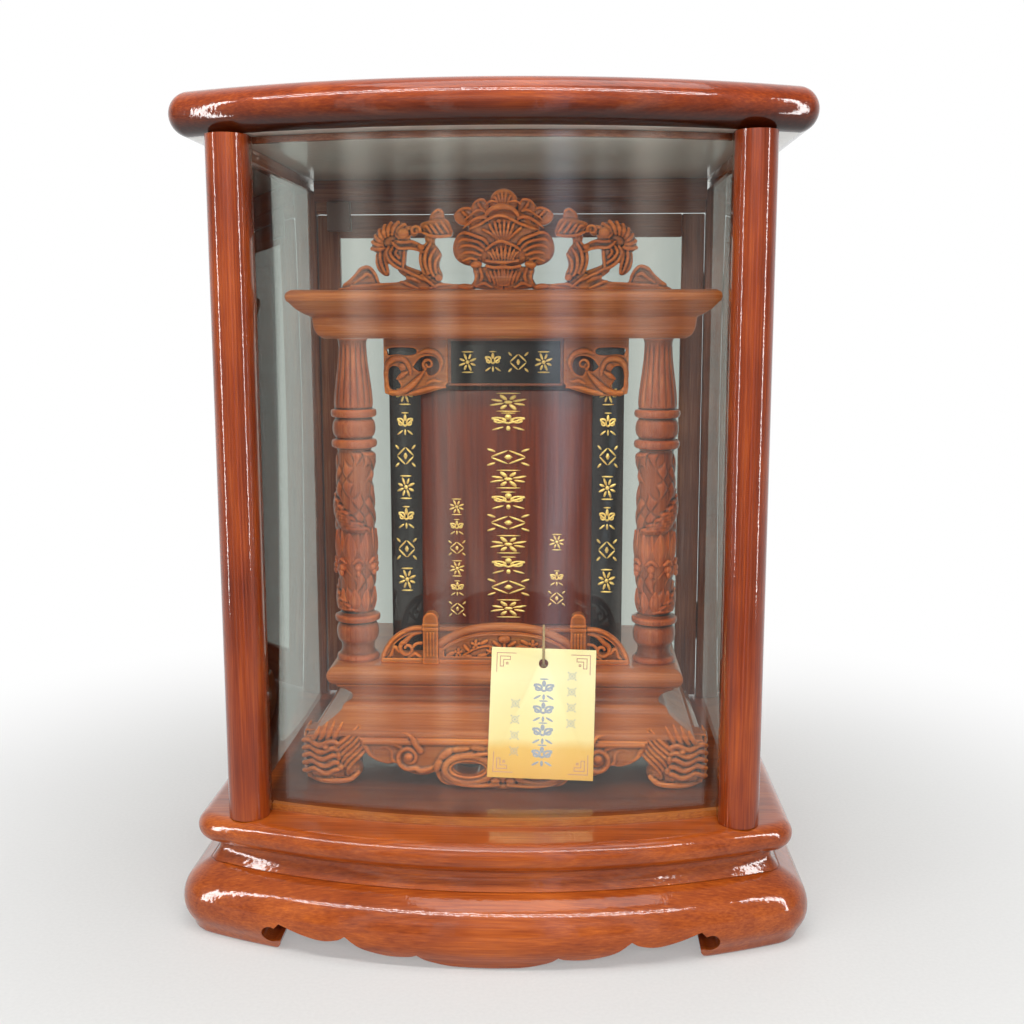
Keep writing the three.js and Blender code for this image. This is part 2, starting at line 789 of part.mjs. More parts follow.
// The swollen lotus that stands out in front of the apron's middle
function lotusDrop(half) {
  const drop = new THREE.Shape();
  const { centre, width, height } = lotusBulgeShares;
  drop.absellipse(0, centre * standApronHeight, width * half, height * standApronHeight, 0, Math.PI * 2);
  return drop;
}

function lotusHole(side, half) {
  const hole = new THREE.Shape();
  const { x, z, width, height } = lotusHoleShares;
  const [across, tall] = [width * half, height * standApronHeight];
  hole.absellipse(side * x * half, z * standApronHeight, across, tall, 0, Math.PI * 2);
  return hole;
}

function addStandApron() {
  const outer = stack(
    mouldingLevels(squareOutline, standPlan, standSkirtShares, 0, standApronHeight, standApronInset),
  );
  const innerSkirt = {
    halfWidth: standPlan.halfWidth - standApronWall,
    front: standPlan.front + standApronWall,
    rear: standPlan.rear + overrun,
  };
  const ring = cut(outer, prism(squareOutline(innerSkirt, 0), -overrun, standApronHeight + overrun));
  const footInner = standHalf - standFootWidth;
  const footRear = standFrontY + standFootDepth;
  const tall = [-overrun, standApronHeight + overrun];
  const frontHalf = footInner - seat;
  const frontBoard = keep(ring, block(-frontHalf, frontHalf, standFrontY - overrun, footRear, ...tall));
  const ahead = standFrontY - lotusBulge - overrun;
  const edge = plateAlongY(standFrontEdge(footInner), ahead, footRear);
  const holes = [1, -1].map((side) => plateAlongY(lotusHole(side, footInner), ahead, footRear));
  const bulgeFront = standFrontY - lotusBulge;
  const lotusPlate = plateAlongY(lotusDrop(footInner), bulgeFront, standFrontY + standApronInset);
  const lotusTrim = block(-frontHalf, frontHalf, standFrontY - standDepth, footRear, 0, standApronHeight);
  const carved = cut(join(frontBoard, keep(lotusPlate, lotusTrim)), edge, ...holes);
  addPart(shrine, 'stand_apron_front', carved, 'lacquer');

  const sideKeep = block(0, standHalf + overrun, footRear + seat, standRearY + overrun, ...tall);
  const sideLength = standRearY - footRear;
  const scoop = new THREE.Shape();
  const scoopEnd = standRearY - standFootDepth;
  const scoopTop = standApronHeight * standScoopShare;
  scoop.moveTo(footRear - overrun, -overrun);
  scoop.lineTo(scoopEnd, -overrun);
  scoop.lineTo(scoopEnd, 0);
  scoop.quadraticCurveTo(scoopEnd, scoopTop, scoopEnd - sideLength / 4, scoopTop);
  scoop.lineTo(footRear - overrun, scoopTop);
  const side = cut(keep(ring, sideKeep), plateAlongX(scoop, 0, standHalf + overrun));
  addPair(shrine, 'stand_side', side, 'lacquer');
}

// Front feet carved as curly heads: a swollen block that narrows to the floor
const standFootShares = [
  [0, -0.5], [0.12, 0], [0.3, 0.6], [0.5, 1], [0.7, 0.8], [0.86, 0.3], [1, -0.8],
];

function footOutline(plan, grow) {
  const { x0, x1, y0, y1, corner } = plan;
  const left = x0 - grow;
  const right = x1 + grow;
  const front = y0 - grow;
  return [
    ...arcPoints(left + corner, front + corner, corner, -Math.PI, -Math.PI / 2, 3),
    ...arcPoints(right - corner, front + corner, corner, -Math.PI / 2, 0, 3),
    new THREE.Vector2(right, y1),
    new THREE.Vector2(left, y1),
  ];
}

function addStandFeet() {
  const plan = {
    x0: standHalf - standFootWidth + standFootInset,
    x1: standHalf - standFootInset,
    y0: standFrontY + standFootInset,
    y1: standFrontY + standFootDepth,
    corner: standFootDepth / 3,
  };
  const levels = mouldingLevels(footOutline, plan, standFootShares, 0, standFootHeight, standFootInset);
  addPair(shrine, 'stand_foot', stack(levels), 'lacquer');
}

function addPlinth() {
  const plinth = stack(
    mouldingLevels(squareOutline, standTopPlan, plinthShares, plinthFoot, plinthHeight, plinthWaist),
  );
  addPart(shrine, 'stand_plinth', plinth, 'lacquer');
  const top = noseLevels(squareOutline, standTopPlan, standTopFoot, standTopThickness);
  addPart(shrine, 'stand_top', stack(top), 'lacquer');
}

// Railing

const railingY = standTopPlan.front + railingSetback;
const newelX = newelSpan / 2;
const panelHalf = newelX - newelWidth / 2 - seat;
const wingEndX = columnSpan / 2 - columnGirthShare * columnRadius - wingClearance;
const wingLength = wingEndX - newelX - newelWidth / 2;
const capSteps = 12;
const archPower = 2.6;

function archZ(x) {
  const rise = archHeight - archShoulder;
  return deck + archShoulder - capRadius + rise * (1 - Math.abs(x / panelHalf) ** archPower);
}

function archPoints(drop) {
  const points = [];
  for (let step = 0; step <= capSteps; step += 1) {
    const x = -panelHalf + (2 * panelHalf * step) / capSteps;
    points.push(new THREE.Vector2(x, archZ(x) - drop));
  }
  return points;
}

function addRailing() {
  const half = railPanelThickness / 2;
  const capLow = capRadius * 1.1 + seat;
  const panelTop = archPoints(capLow).reverse();
  const panel = new THREE.Shape([
    new THREE.Vector2(-panelHalf, deck),
    new THREE.Vector2(panelHalf, deck),
    ...panelTop,
  ]);
  addPart(shrine, 'railing_panel', plateAlongY(panel, railingY - half, railingY + half), 'lacquer');

  const line = archPoints(0).map((point) => new THREE.Vector3(point.x, railingY, point.y));
  const path = new THREE.CatmullRomCurve3(line);
  const section = new THREE.Shape(arcPoints(0, 0, capRadius, 0, Math.PI * 2, 10).slice(0, -1));
  const cap = new THREE.ExtrudeGeometry(section, { steps: capSteps, extrudePath: path });
  const [trimFront, trimRear] = [railingY - newelWidth, railingY + newelWidth];
  const trim = block(-panelHalf, panelHalf, trimFront, trimRear, deck, standTop + newelHeight);
  addPart(shrine, 'railing_cap', keep(cap, trim), 'lacquer');
  addWings();
}

const wingSwellShare = 0.3;
const wingHoleShare = 0.32;
const wingRimShare = 0.18;
const wingRim = wingRimShare * wingLength;

// A newel with a round top and the pierced quarter wing beside it
function addWings() {
  const half = newelWidth / 2;
  const newel = new THREE.Shape();
  newel.moveTo(newelX - half, deck);
  newel.lineTo(newelX + half, deck);
  newel.lineTo(newelX + half, deck + newelHeight - half);
  newel.absarc(newelX, deck + newelHeight - half, half, 0, Math.PI, false);
  const post = plateAlongY(newel, railingY - half, railingY + half);

  const start = newelX + half - overrun;
  const end = newelX + half + wingLength;
  const wing = new THREE.Shape();
  wing.moveTo(start, deck);
  wing.lineTo(end, deck);
  wing.quadraticCurveTo(end - wingLength * wingSwellShare, deck + wingHeight, start, deck + wingHeight);
  const hole = new THREE.Path();
  const holeEnd = end - wingLength * wingHoleShare;
  hole.moveTo(start + overrun + wingRim, deck + wingRim);
  hole.lineTo(holeEnd, deck + wingRim);
  hole.quadraticCurveTo(
    holeEnd - wingRim, deck + wingHeight - wingRim * 2,
    start + overrun + wingRim, deck + wingHeight - wingRim,
  );
  wing.holes.push(hole);
  const rail = plateAlongY(wing, railingY - wingThickness / 2, railingY + wingThickness / 2);
  addPair(shrine, 'railing_wing', join(post, rail), 'lacquer');
}

// Columns

// [radius share, height share] up the turned parts below and above the carved body
const columnFootShares = [
  [0.92, 0], [1.02, 0.003], [1.03, 0.012], [0.85, 0.024], [0.79, 0.036], [0.8, 0.05], [0.98, 0.07],
  [1.02, 0.088], [0.99, 0.105], [0.88, 0.119], [1.06, 0.127], [1.09, 0.135], [1.06, 0.143], [0.85, 0.15],
];
const columnHeadShares = [
  [0.86, 0.665], [1.03, 0.671], [1.08, 0.682], [1.03, 0.692], [0.88, 0.697], [0.98, 0.711], [1.02, 0.728],
  [0.98, 0.746], [0.88, 0.757], [1.04, 0.765], [1.08, 0.775], [1.04, 0.785], [0.9, 0.79], [0.87, 0.833],
  [0.79, 0.878], [0.69, 0.925], [0.64, 0.97], [0.71, 1],
];
const bodyShares = { start: 0.157, end: 0.657, radius: 0.86, swell: 0.16, bulges: 3, steps: 15 };

function columnProfile() {
  const shares = [[0, 0], ...columnFootShares];
  const { start, end, radius, swell, bulges, steps } = bodyShares;
  for (let step = 0; step <= steps; step += 1) {
    const along = step / steps;
    const bulge = Math.abs(Math.sin(Math.PI * bulges * along));
    shares.push([radius + swell * bulge, start + (end - start) * along]);
  }
  shares.push(...columnHeadShares, [0, 1]);
  return shares.map(([radiusShare, heightShare]) => (
    new THREE.Vector2(radiusShare * columnRadius, heightShare * columnHeight)
  ));
}

const columnY = standTopPlan.front + columnSetback;

function addColumns() {
  const column = new THREE.LatheGeometry(columnProfile(), 16).rotateX(Math.PI / 2);
  addPair(shrine, 'column', column.translate(columnSpan / 2, columnY, deck), 'lacquer');
}

// Tablet

const cheekFrontY = standTopPlan.front + tabletSetback;
const cheekRearY = cheekFrontY + cheekDepth;
const backFrontY = cheekRearY + seat;
const backRearY = backFrontY + backThickness;
const boardFrontY = cheekFrontY + boardSetback;
const boardFoot = deck + sillHeight + seat;

function inscriptionBoard(clearance, lift) {
  const half = tabletHalfWidth + grooveDepth / 2;
  const front = boardFrontY - clearance;
  const rear = boardFrontY + boardThickness + clearance;
  const head = boardFoot + boardHeight + lift;
  return block(-half - clearance, half + clearance, front, rear, boardFoot - clearance, head + clearance);
}

function addTablet() {
  const cheekOuter = tabletHalfWidth + cheekWidth;
  const cheek = block(tabletHalfWidth, cheekOuter, cheekFrontY, cheekRearY, deck, tabletHead);
  addPair(shrine, 'couplet_board', cut(cheek, inscriptionBoard(boardPlay, boardLift + seat)), 'blackLacquer');
  addPart(shrine, 'inscription_board', inscriptionBoard(0, 0), 'redBoard');

  const back = block(-cheekOuter, cheekOuter, backFrontY, backRearY, deck, tabletHead);
  const sillHalf = tabletHalfWidth - seat;
  const sillTop = deck + sillHeight;
  const sill = block(-sillHalf, sillHalf, cheekFrontY + seat, backRearY, deck, sillTop);
  addPart(shrine, 'tablet_back', join(back, sill), 'darkLacquer');
  const slipFoot = sillTop + seat;
  const slipRear = cheekRearY;
  const slipHalf = slipWidth / 2;
  const slipFront = slipRear - slipThickness;
  const slip = block(-slipHalf, slipHalf, slipFront, slipRear, slipFoot, slipFoot + slipHeight);
  addPart(shrine, 'name_board', slip, 'paleWood');
  addLintel();
}

function addLintel() {
  const rear = cheekFrontY - seat;
  const front = rear - plaqueThickness;
  const plaque = block(-plaqueHalfWidth, plaqueHalfWidth, front, rear, tabletHead - plaqueHeight, tabletHead);
  addPart(shrine, 'lintel_plaque', plaque, 'blackLacquer');
  addPair(shrine, 'bracket', plateAlongY(bracketShape(), front, rear), 'lacquer');
}

// A scroll bracket: square at the column, its lower edge sweeping up to the plaque, pierced by a comma
const bracketShares = {
  tail: 0.22, belly: 0.1, holeInner: 0.3, holeOuter: 0.78, holeHigh: 0.84, holeLow: 0.34, middle: 0.5,
  brow: 0.65,
};

function bracketShape() {
  const inner = plaqueHalfWidth + seat;
  const outer = inner + bracketLength;
  const foot = tabletHead - bracketHeight;
  const share = bracketShares;
  const along = (part) => inner + part * bracketLength;
  const up = (part) => foot + part * bracketHeight;
  const shape = new THREE.Shape();
  shape.moveTo(inner, tabletHead);
  shape.lineTo(inner, up(share.tail));
  shape.quadraticCurveTo(along(share.tail), up(share.tail), along(share.holeInner), foot);
  shape.lineTo(outer - bracketRim, foot);
  shape.quadraticCurveTo(outer, foot, outer, foot + bracketRim);
  shape.lineTo(outer, tabletHead);
  const hole = new THREE.Path();
  hole.moveTo(along(share.holeInner), up(share.holeHigh));
  hole.lineTo(along(share.holeOuter), up(share.holeHigh));
  hole.lineTo(along(share.holeOuter), up(share.holeLow));
  hole.quadraticCurveTo(along(share.middle), up(share.belly), along(share.middle), up(share.middle));
  hole.quadraticCurveTo(along(share.middle), up(share.brow), along(share.holeInner), up(share.holeHigh));
  shape.holes.push(hole);
  return shape;
}

// Roof and crown

const roofFrontY = standFrontY;
const roofShares = [
  [0, -1], [0.02, -0.95], [0.07, -0.84], [0.16, -0.76], [0.28, -0.71], [0.42, -0.69], [0.46, -0.64],
  [0.52, -0.46], [0.62, -0.26], [0.74, -0.1], [0.78, -0.03], [0.86, 0], [0.94, -0.03], [1, -0.16],
];
const roofReach = 28;

function addRoof() {
  const plan = { halfWidth: roofWidth / 2, front: roofFrontY, rear: roofFrontY + roofDepth };
  const levels = mouldingLevels(squareOutline, plan, roofShares, roofFoot, roofHeight, roofReach);
  addPart(shrine, 'roof', stack(levels), 'lacquer');
  addCrown();
}

// Right halves of the crown's pieces as [distance share, height share] of the half width and height
const crownBaseShares = [[0, 0], [1, 0], [0.96, 0.09], [0.88, 0.14], [0.76, 0.12], [0.3, 0.13], [0, 0.13]];
const lotusShares = [
  [0, 0.26], [0.2, 0.28], [0.245, 0.44], [0.26, 0.52], [0.245, 0.6], [0.245, 0.72], [0.2, 0.82], [0.15, 0.9],
  [0.08, 0.95], [0, 1],
];
const potShares = [[0, 0.04], [0.16, 0.04], [0.14, 0.16], [0.19, 0.29], [0, 0.32]];
const dragonShares = [
  [0.3, 0.08], [0.38, 0.3], [0.34, 0.5], [0.4, 0.72], [0.46, 0.66], [0.44, 0.56], [0.54, 0.6], [0.6, 0.7],
  [0.72, 0.68], [0.78, 0.5], [0.82, 0.56], [0.86, 0.4], [0.9, 0.24], [0.97, 0.08], [0.86, 0.06], [0.8, 0.24],
  [0.74, 0.34], [0.7, 0.22], [0.66, 0.34], [0.6, 0.44], [0.52, 0.42], [0.48, 0.3], [0.56, 0.2], [0.6, 0.06],
];

function crownPoints(shares) {
  return shares.map(([distanceShare, heightShare]) => (
    new THREE.Vector2(distanceShare * crownHalfWidth, roofTop + seat + heightShare * crownHeight)
  ));
}

function symmetricShape(shares) {
  const right = crownPoints(shares);
  const left = right.slice().reverse().map((point) => new THREE.Vector2(-point.x, point.y));
  const whole = [...right, ...left].filter((point, i, all) => i === 0 || point.distanceTo(all[i - 1]) > 0);
  const closed = whole[0].distanceTo(whole[whole.length - 1]) > 0 ? whole : whole.slice(0, -1);
  return new THREE.Shape(closed);
}

function addCrown() {
  const y = roofFrontY + crownSetback;
  const plate = (shape, thickness) => plateAlongY(shape, y - thickness / 2, y + thickness / 2);
  const dragon = plate(new THREE.Shape(crownPoints(dragonShares)), crownThickness);
  const crown = join(
    plate(symmetricShape(crownBaseShares), crownThickness),
    plate(symmetricShape(lotusShares), lotusThickness),
    plate(symmetricShape(potShares), lotusThickness),
    dragon,
    mirrored(dragon),
  );
  addPart(shrine, 'crown', crown, 'lacquer');
}

// Card label hung over the railing cap; the card leans on the nose of the stand top

const noseZ = standTopFoot + standTopThickness / 2;

function addLabel() {
  const card = new THREE.Shape();
  const half = cardWidth / 2;
  card.moveTo(-half, -cardHeight);
  card.lineTo(half, -cardHeight);
  card.lineTo(half, 0);
  card.lineTo(-half, 0);
  const hole = new THREE.Path();
  hole.absarc(0, -cardHoleDrop, cardHoleRadius, 0, Math.PI * 2);
  card.holes.push(hole);
  const geometry = plateAlongY(card, -cardThickness, 0);
  const noseY = standTopPlan.front - seat;
  geometry.translate(0, 0, cardHoleDrop).rotateY(cardRoll).translate(0, 0, cardTopRise - cardHoleDrop);
  geometry.rotateX(-cardTilt).translate(labelX, noseY, noseZ);
  addPart(shrine, 'label_card', geometry, 'card');
  addString();
}

// A point by its height up the card from the contact line and its distance in front of the card's face
function cardPoint(height, ahead) {
  const point = new THREE.Vector3(0, -cardThickness - ahead, height);
  point.applyAxisAngle(new THREE.Vector3(1, 0, 0), -cardTilt);
  return point.add(new THREE.Vector3(labelX, standTopPlan.front - seat, noseZ));
}

// Route of the string: over the cap from behind, down the card's face and back through its hole
function stringRoute() {
  const reach = capRadius + stringPlay + stringRadius;
  const leave = THREE.MathUtils.degToRad(stringWrap);
  const route = arcPoints(railingY, archZ(labelX), reach, 0, leave, 8).map((point) => (
    new THREE.Vector3(labelX, point.x, point.y)
  ));
  const off = stringRadius + stringPlay;
  const through = Math.acos((stringBend - off - cardThickness / 2) / stringBend);
  const bendStart = cardTopRise - cardHoleDrop + stringBend * Math.sin(through);
  route.push(cardPoint(cardTopRise, off), cardPoint((cardTopRise + bendStart) / 2, off));
  for (const { x, y } of arcPoints(bendStart, off - stringBend, stringBend, Math.PI / 2, Math.PI, 6)) {
    route.push(cardPoint(x, y));
  }
  route.push(cardPoint(bendStart - stringBend, off - stringBend - stringRadius));
  return route;
}

function addString() {
  const path = new THREE.CatmullRomCurve3(stringRoute());
  const section = new THREE.Shape(arcPoints(0, 0, stringRadius, 0, Math.PI * 2, 8).slice(0, -1));
  const string = new THREE.ExtrudeGeometry(section, { steps: 36, extrudePath: path });
  addPart(shrine, 'label_string', string, 'jute');
}

addBase();
addTop();
addGlass();
addPosts();
addRails();
addGlassBlocks();
addDoor();
addHinge('lower', doorFoot + hingeEndDistance);
addHinge('upper', doorHead - hingeEndDistance - hingeLength);
addCatch();
addStandApron();
addStandFeet();
addPlinth();
addRailing();
addColumns();
addTablet();
addRoof();
addLabel();

export default shrineCase;
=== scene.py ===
import math

import bmesh
import bpy
import numpy as np
from mathutils import Matrix, Vector


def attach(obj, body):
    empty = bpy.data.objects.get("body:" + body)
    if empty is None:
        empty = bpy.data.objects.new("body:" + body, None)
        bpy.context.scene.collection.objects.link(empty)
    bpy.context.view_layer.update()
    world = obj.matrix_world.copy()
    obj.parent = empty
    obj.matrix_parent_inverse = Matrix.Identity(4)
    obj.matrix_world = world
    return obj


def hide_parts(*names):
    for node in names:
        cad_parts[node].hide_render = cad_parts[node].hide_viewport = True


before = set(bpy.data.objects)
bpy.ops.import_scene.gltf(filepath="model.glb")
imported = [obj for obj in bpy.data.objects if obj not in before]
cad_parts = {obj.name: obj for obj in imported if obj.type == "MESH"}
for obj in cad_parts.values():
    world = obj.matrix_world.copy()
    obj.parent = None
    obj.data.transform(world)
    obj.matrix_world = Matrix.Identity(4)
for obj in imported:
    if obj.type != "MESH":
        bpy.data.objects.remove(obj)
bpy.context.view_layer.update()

# Sizes are written in millimetres, in the frame of the case: its front faces -Y
MM = 0.001
CASE_FLOOR = 102.3              # where posts, door and shrine stand, a hair above the base board
CASE_HEAD = 665.7               # where the posts end, a hair under the top board
GROOVE = 5                      # how deep the panes are let into the boards
BOW_MIDDLE = 423                # along Y, the middle of the front glass's bow
SHRINE = (6.0, 8.0, CASE_FLOOR)  # the tablet shrine's own origin, on the case's floor
DECK = 107.9                    # top of the shrine's stand, in the shrine's frame
TAU = 2 * math.pi

# Camera

def stand_camera():
    """Puts the camera where the photograph was taken from."""
    camera = bpy.data.objects.new("camera", bpy.data.cameras.new("camera"))
    bpy.context.scene.collection.objects.link(camera)
    bpy.context.scene.camera = camera
    yaw, pitch, roll = (math.radians(angle) for angle in (2.53, 8.81, -0.08))
    ahead = Vector((-math.sin(yaw) * math.cos(pitch), math.cos(yaw) * math.cos(pitch), -math.sin(pitch)))
    place = Matrix.Translation((0.0625, -1.1747, 0.5236)) @ ahead.to_track_quat("-Z",
                                                                                "Y").to_matrix().to_4x4()
    camera.matrix_world = place @ Matrix.Rotation(roll, 4, "Z")
    camera.data.sensor_width = 36
    camera.data.lens = 44.34
    camera.data.clip_start = 0.01


stand_camera()

# Node trees

def srgb(hex_colour):
    """Linear colour of an sRGB hex value."""
    parts = [int(hex_colour[i:i + 2], 16) / 255 for i in (1, 3, 5)]
    return [part / 12.92 if part <= 0.04045 else ((part + 0.055) / 1.055) ** 2.4 for part in parts] + [1.0]


def put(tree, kind, inputs=None, stops=None, **settings):
    """Adds a node with its settings, its constants and the links that come into it."""
    node = tree.nodes.new(kind)
    for key, value in settings.items():
        setattr(node, key, value)
    for key, value in (inputs or {}).items():
        if isinstance(value, bpy.types.NodeSocket):
            tree.links.new(value, node.inputs[key])
        elif isinstance(value, str) and value.startswith("#"):
            node.inputs[key].default_value = srgb(value)
        else:
            node.inputs[key].default_value = value
    if stops:
        ramp = node.color_ramp
        while len(ramp.elements) < len(stops):
            ramp.elements.new(0.5)
        for element, (place, colour) in zip(ramp.elements, stops):
            element.position = place
            element.color = srgb(colour)
    return node


def new_material(name):
    material = bpy.data.materials.new(name)
    material.use_nodes = True
    material.node_tree.nodes.clear()
    return material, material.node_tree


def finish_material(tree, shader):
    put(tree, "ShaderNodeOutputMaterial", {"Surface": shader})


# Materials

def lacquered_wood(name, deep, stain, glow, along=2, carved=False, body_roughness=0.34, cut=0.46, ridge=0.53,
                   shade_heights=None, underside=None, floor_shade=None, peel_strength=0.6):
    """Hardwood, stained red-brown and sprayed with thick clear polyurethane. The clear coat gives sharp
    mirror lines over a deep warm stain that is streaked along the grain and darker where spray gathers. The
    wood itself hardly shines under the coat, so its specular level is low. Options add painted shade low on a
    nose, on the floor inside the case and in the cuts of carving, and a painted highlight on carved ridges."""
    material, tree = new_material(name)
    place = put(tree, "ShaderNodeTexCoord").outputs["Object"]
    # Pores are 0.2 mm wide, too fine to show: streaks are drawn 1.4 mm across and 60 mm long
    stretch = [700.0, 700.0, 700.0]
    stretch[along] = 16.0
    grain_place = put(tree, "ShaderNodeMapping", {"Vector": place, "Scale": stretch}).outputs[0]
    grain = put(tree, "ShaderNodeTexNoise", {"Vector": grain_place, "Scale": 1.0, "Detail": 3.0,
                                             "Roughness": 0.6}).outputs[0]
    # Spray lies in clouds some 70 mm wide
    cloud = put(tree, "ShaderNodeTexNoise", {"Vector": place, "Scale": 14.0, "Detail": 2.0}).outputs[0]
    # Broader stripes of the wood, 9 mm across
    wide = [110.0, 110.0, 110.0]
    wide[along] = 5.0
    wide_place = put(tree, "ShaderNodeMapping", {"Vector": place, "Scale": wide}).outputs[0]
    stripe = put(tree, "ShaderNodeTexNoise", {"Vector": wide_place, "Scale": 1.0, "Detail": 2.0}).outputs[0]
    blend = put(tree, "ShaderNodeMath", {0: grain, 1: 0.45}, operation="MULTIPLY").outputs[0]
    blend = put(tree, "ShaderNodeMath", {0: cloud, 1: 0.3, 2: blend}, operation="MULTIPLY_ADD").outputs[0]
    blend = put(tree, "ShaderNodeMath", {0: stripe, 1: 0.25, 2: blend}, operation="MULTIPLY_ADD").outputs[0]
    colour = put(tree, "ShaderNodeValToRGB", {0: blend},
                 stops=[(0.3, deep), (0.5, stain), (0.7, glow)]).outputs[0]
    if carved:
        # Painted shade and highlight: the colour is darkened in the cuts and lightened on the ridges, by how
        # pointed the surface is
        edge = put(tree, "ShaderNodeNewGeometry").outputs["Pointiness"]
        shade = put(tree, "ShaderNodeMapRange", {0: edge, 1: cut, 2: ridge, 3: 0.06, 4: 1.5}).outputs[0]
        colour = put(tree, "ShaderNodeVectorMath", {0: colour, "Scale": shade}, operation="SCALE").outputs[0]
    height = put(tree, "ShaderNodeSeparateXYZ", {0: place}).outputs[2]
    if shade_heights:
        # Painted shade: the colour is darkened between two heights, darkest at the first, for the shade low
        # on a board's nose
        shade_factor = put(tree, "ShaderNodeMapRange", {0: height, 1: shade_heights[0], 2: shade_heights[1], 3: 0.1, 4: 1.0},
                    interpolation_type="SMOOTHSTEP").outputs[0]
        colour = put(tree, "ShaderNodeVectorMath", {0: colour, "Scale": shade_factor}, operation="SCALE").outputs[0]
    if underside:
        # Below a given height, on the board's underside, the colour is an even pale grey
        level, pale_underside = underside
        below_share = put(tree, "ShaderNodeMath", {0: height, 1: level}, operation="LESS_THAN").outputs[0]
        colour = put(tree, "ShaderNodeMix", {0: below_share, 6: colour, 7: pale_underside},
                     data_type="RGBA").outputs[2]
    if floor_shade:
        # Painted shade: the floor inside the case, behind the front glass and between the side glasses, is
        # darkened for the shade there
        across, along_y, _ = put(tree, "ShaderNodeSeparateXYZ", {0: place}).outputs
        from_middle = put(tree, "ShaderNodeMath", {0: across}, operation="ABSOLUTE").outputs[0]
        side = put(tree, "ShaderNodeMapRange", {0: from_middle, 1: 0.2, 2: 0.207, 3: floor_shade,
                                                4: 1.0}).outputs[0]
        rear = put(tree, "ShaderNodeMapRange", {0: along_y, 1: 0.197, 2: 0.206, 3: floor_shade,
                                                4: 1.0}).outputs[0]
        bow = put(tree, "ShaderNodeVectorMath", {0: place, 1: (0.0, 0.423, 0.1)},
                  operation="DISTANCE").outputs["Value"]
        front = put(tree, "ShaderNodeMapRange", {0: bow, 1: 0.57, 2: 0.592, 3: floor_shade,
                                                 4: 1.0}).outputs[0]
        shade_factor = put(tree, "ShaderNodeMath", {0: side, 1: rear}, operation="MAXIMUM").outputs[0]
        shade_factor = put(tree, "ShaderNodeMath", {0: shade_factor, 1: front}, operation="MAXIMUM").outputs[0]
        colour = put(tree, "ShaderNodeVectorMath", {0: colour, "Scale": shade_factor}, operation="SCALE").outputs[0]
    # Orange peel of the sprayed coat: ripples from 8 down to 1 mm apart, a hundredth of a millimetre high
    ripple = put(tree, "ShaderNodeTexNoise",
                 {"Vector": place, "Scale": 125.0, "Detail": 3.0, "Roughness": 0.62}).outputs[0]
    peel = put(tree, "ShaderNodeBump", {"Height": ripple, "Strength": peel_strength,
                                        "Distance": 0.0003}).outputs[0]
    rub = put(tree, "ShaderNodeMapRange", {0: cloud, 1: 0.3, 2: 0.7, 3: body_roughness - 0.06,
                                           4: body_roughness + 0.08}).outputs[0]
    shader = put(tree, "ShaderNodeBsdfPrincipled", {
        "Base Color": colour, "Roughness": rub, "IOR": 1.5, "Specular IOR Level": 0.08, "Normal": peel,
        "Coat Weight": 1.0, "Coat Roughness": 0.03, "Coat IOR": 1.43, "Coat Normal": peel,
    }).outputs[0]
    finish_material(tree, shader)
    return material


def lacquered_board(name, ground, warm, roughness):
    """Thin wooden board under many flat coats of tinted lacquer, rubbed level: nearly even colour, clear
    reflections, and only a hint of the brown wood where the coat is thin."""
    material, tree = new_material(name)
    place = put(tree, "ShaderNodeTexCoord").outputs["Object"]
    stretched = put(tree, "ShaderNodeMapping", {"Vector": place, "Scale": (260.0, 260.0, 9.0)}).outputs[0]
    streak = put(tree, "ShaderNodeTexNoise", {"Vector": stretched, "Scale": 1.0, "Detail": 3.0}).outputs[0]
    colour = put(tree, "ShaderNodeValToRGB", {0: streak}, stops=[(0.35, ground), (0.75, warm)]).outputs[0]
    ripple = put(tree, "ShaderNodeTexNoise", {"Vector": place, "Scale": 40.0}).outputs[0]
    peel = put(tree, "ShaderNodeBump", {"Height": ripple, "Strength": 0.2, "Distance": 0.001}).outputs[0]
    shader = put(tree, "ShaderNodeBsdfPrincipled", {
        "Base Color": colour, "Roughness": roughness, "IOR": 1.5, "Specular IOR Level": 0.12, "Normal": peel,
        "Coat Weight": 1.0, "Coat Roughness": 0.03, "Coat IOR": 1.5,
    }).outputs[0]
    finish_material(tree, shader)
    return material


def clear_glass(name, tint, ior):
    """Float glass, 3 to 4 mm, with sharp reflections and faint wiping marks: the tint is what one pane takes
    from white. Lamps shine through it, so the shrine inside is lit."""
    material, tree = new_material(name)
    place = put(tree, "ShaderNodeTexCoord").outputs["Object"]
    # Dust and wiping marks, in streaks some 30 mm wide that run down the pane
    wiped = put(tree, "ShaderNodeMapping", {"Vector": place, "Scale": (34.0, 34.0, 4.0)}).outputs[0]
    smear = put(tree, "ShaderNodeTexNoise", {"Vector": wiped, "Scale": 1.0, "Detail": 4.0,
                                             "Roughness": 0.6}).outputs[0]
    haze = put(tree, "ShaderNodeMapRange", {0: smear, 1: 0.45, 2: 0.75, 3: 0.0, 4: 0.01}).outputs[0]
    shader = put(tree, "ShaderNodeBsdfPrincipled", {
        "Base Color": tint, "Roughness": haze, "IOR": ior, "Transmission Weight": 1.0,
    }).outputs[0]
    one_face = [part ** 0.5 for part in srgb(tint)]
    clear = put(tree, "ShaderNodeBsdfTransparent", {"Color": one_face}).outputs[0]
    path = put(tree, "ShaderNodeLightPath").outputs
    through = put(tree, "ShaderNodeMath", {0: path["Is Shadow Ray"], 1: path["Is Diffuse Ray"]},
                  operation="MAXIMUM").outputs[0]
    mixed = put(tree, "ShaderNodeMixShader", {0: through, 1: shader, 2: clear}).outputs[0]
    finish_material(tree, mixed)
    return material


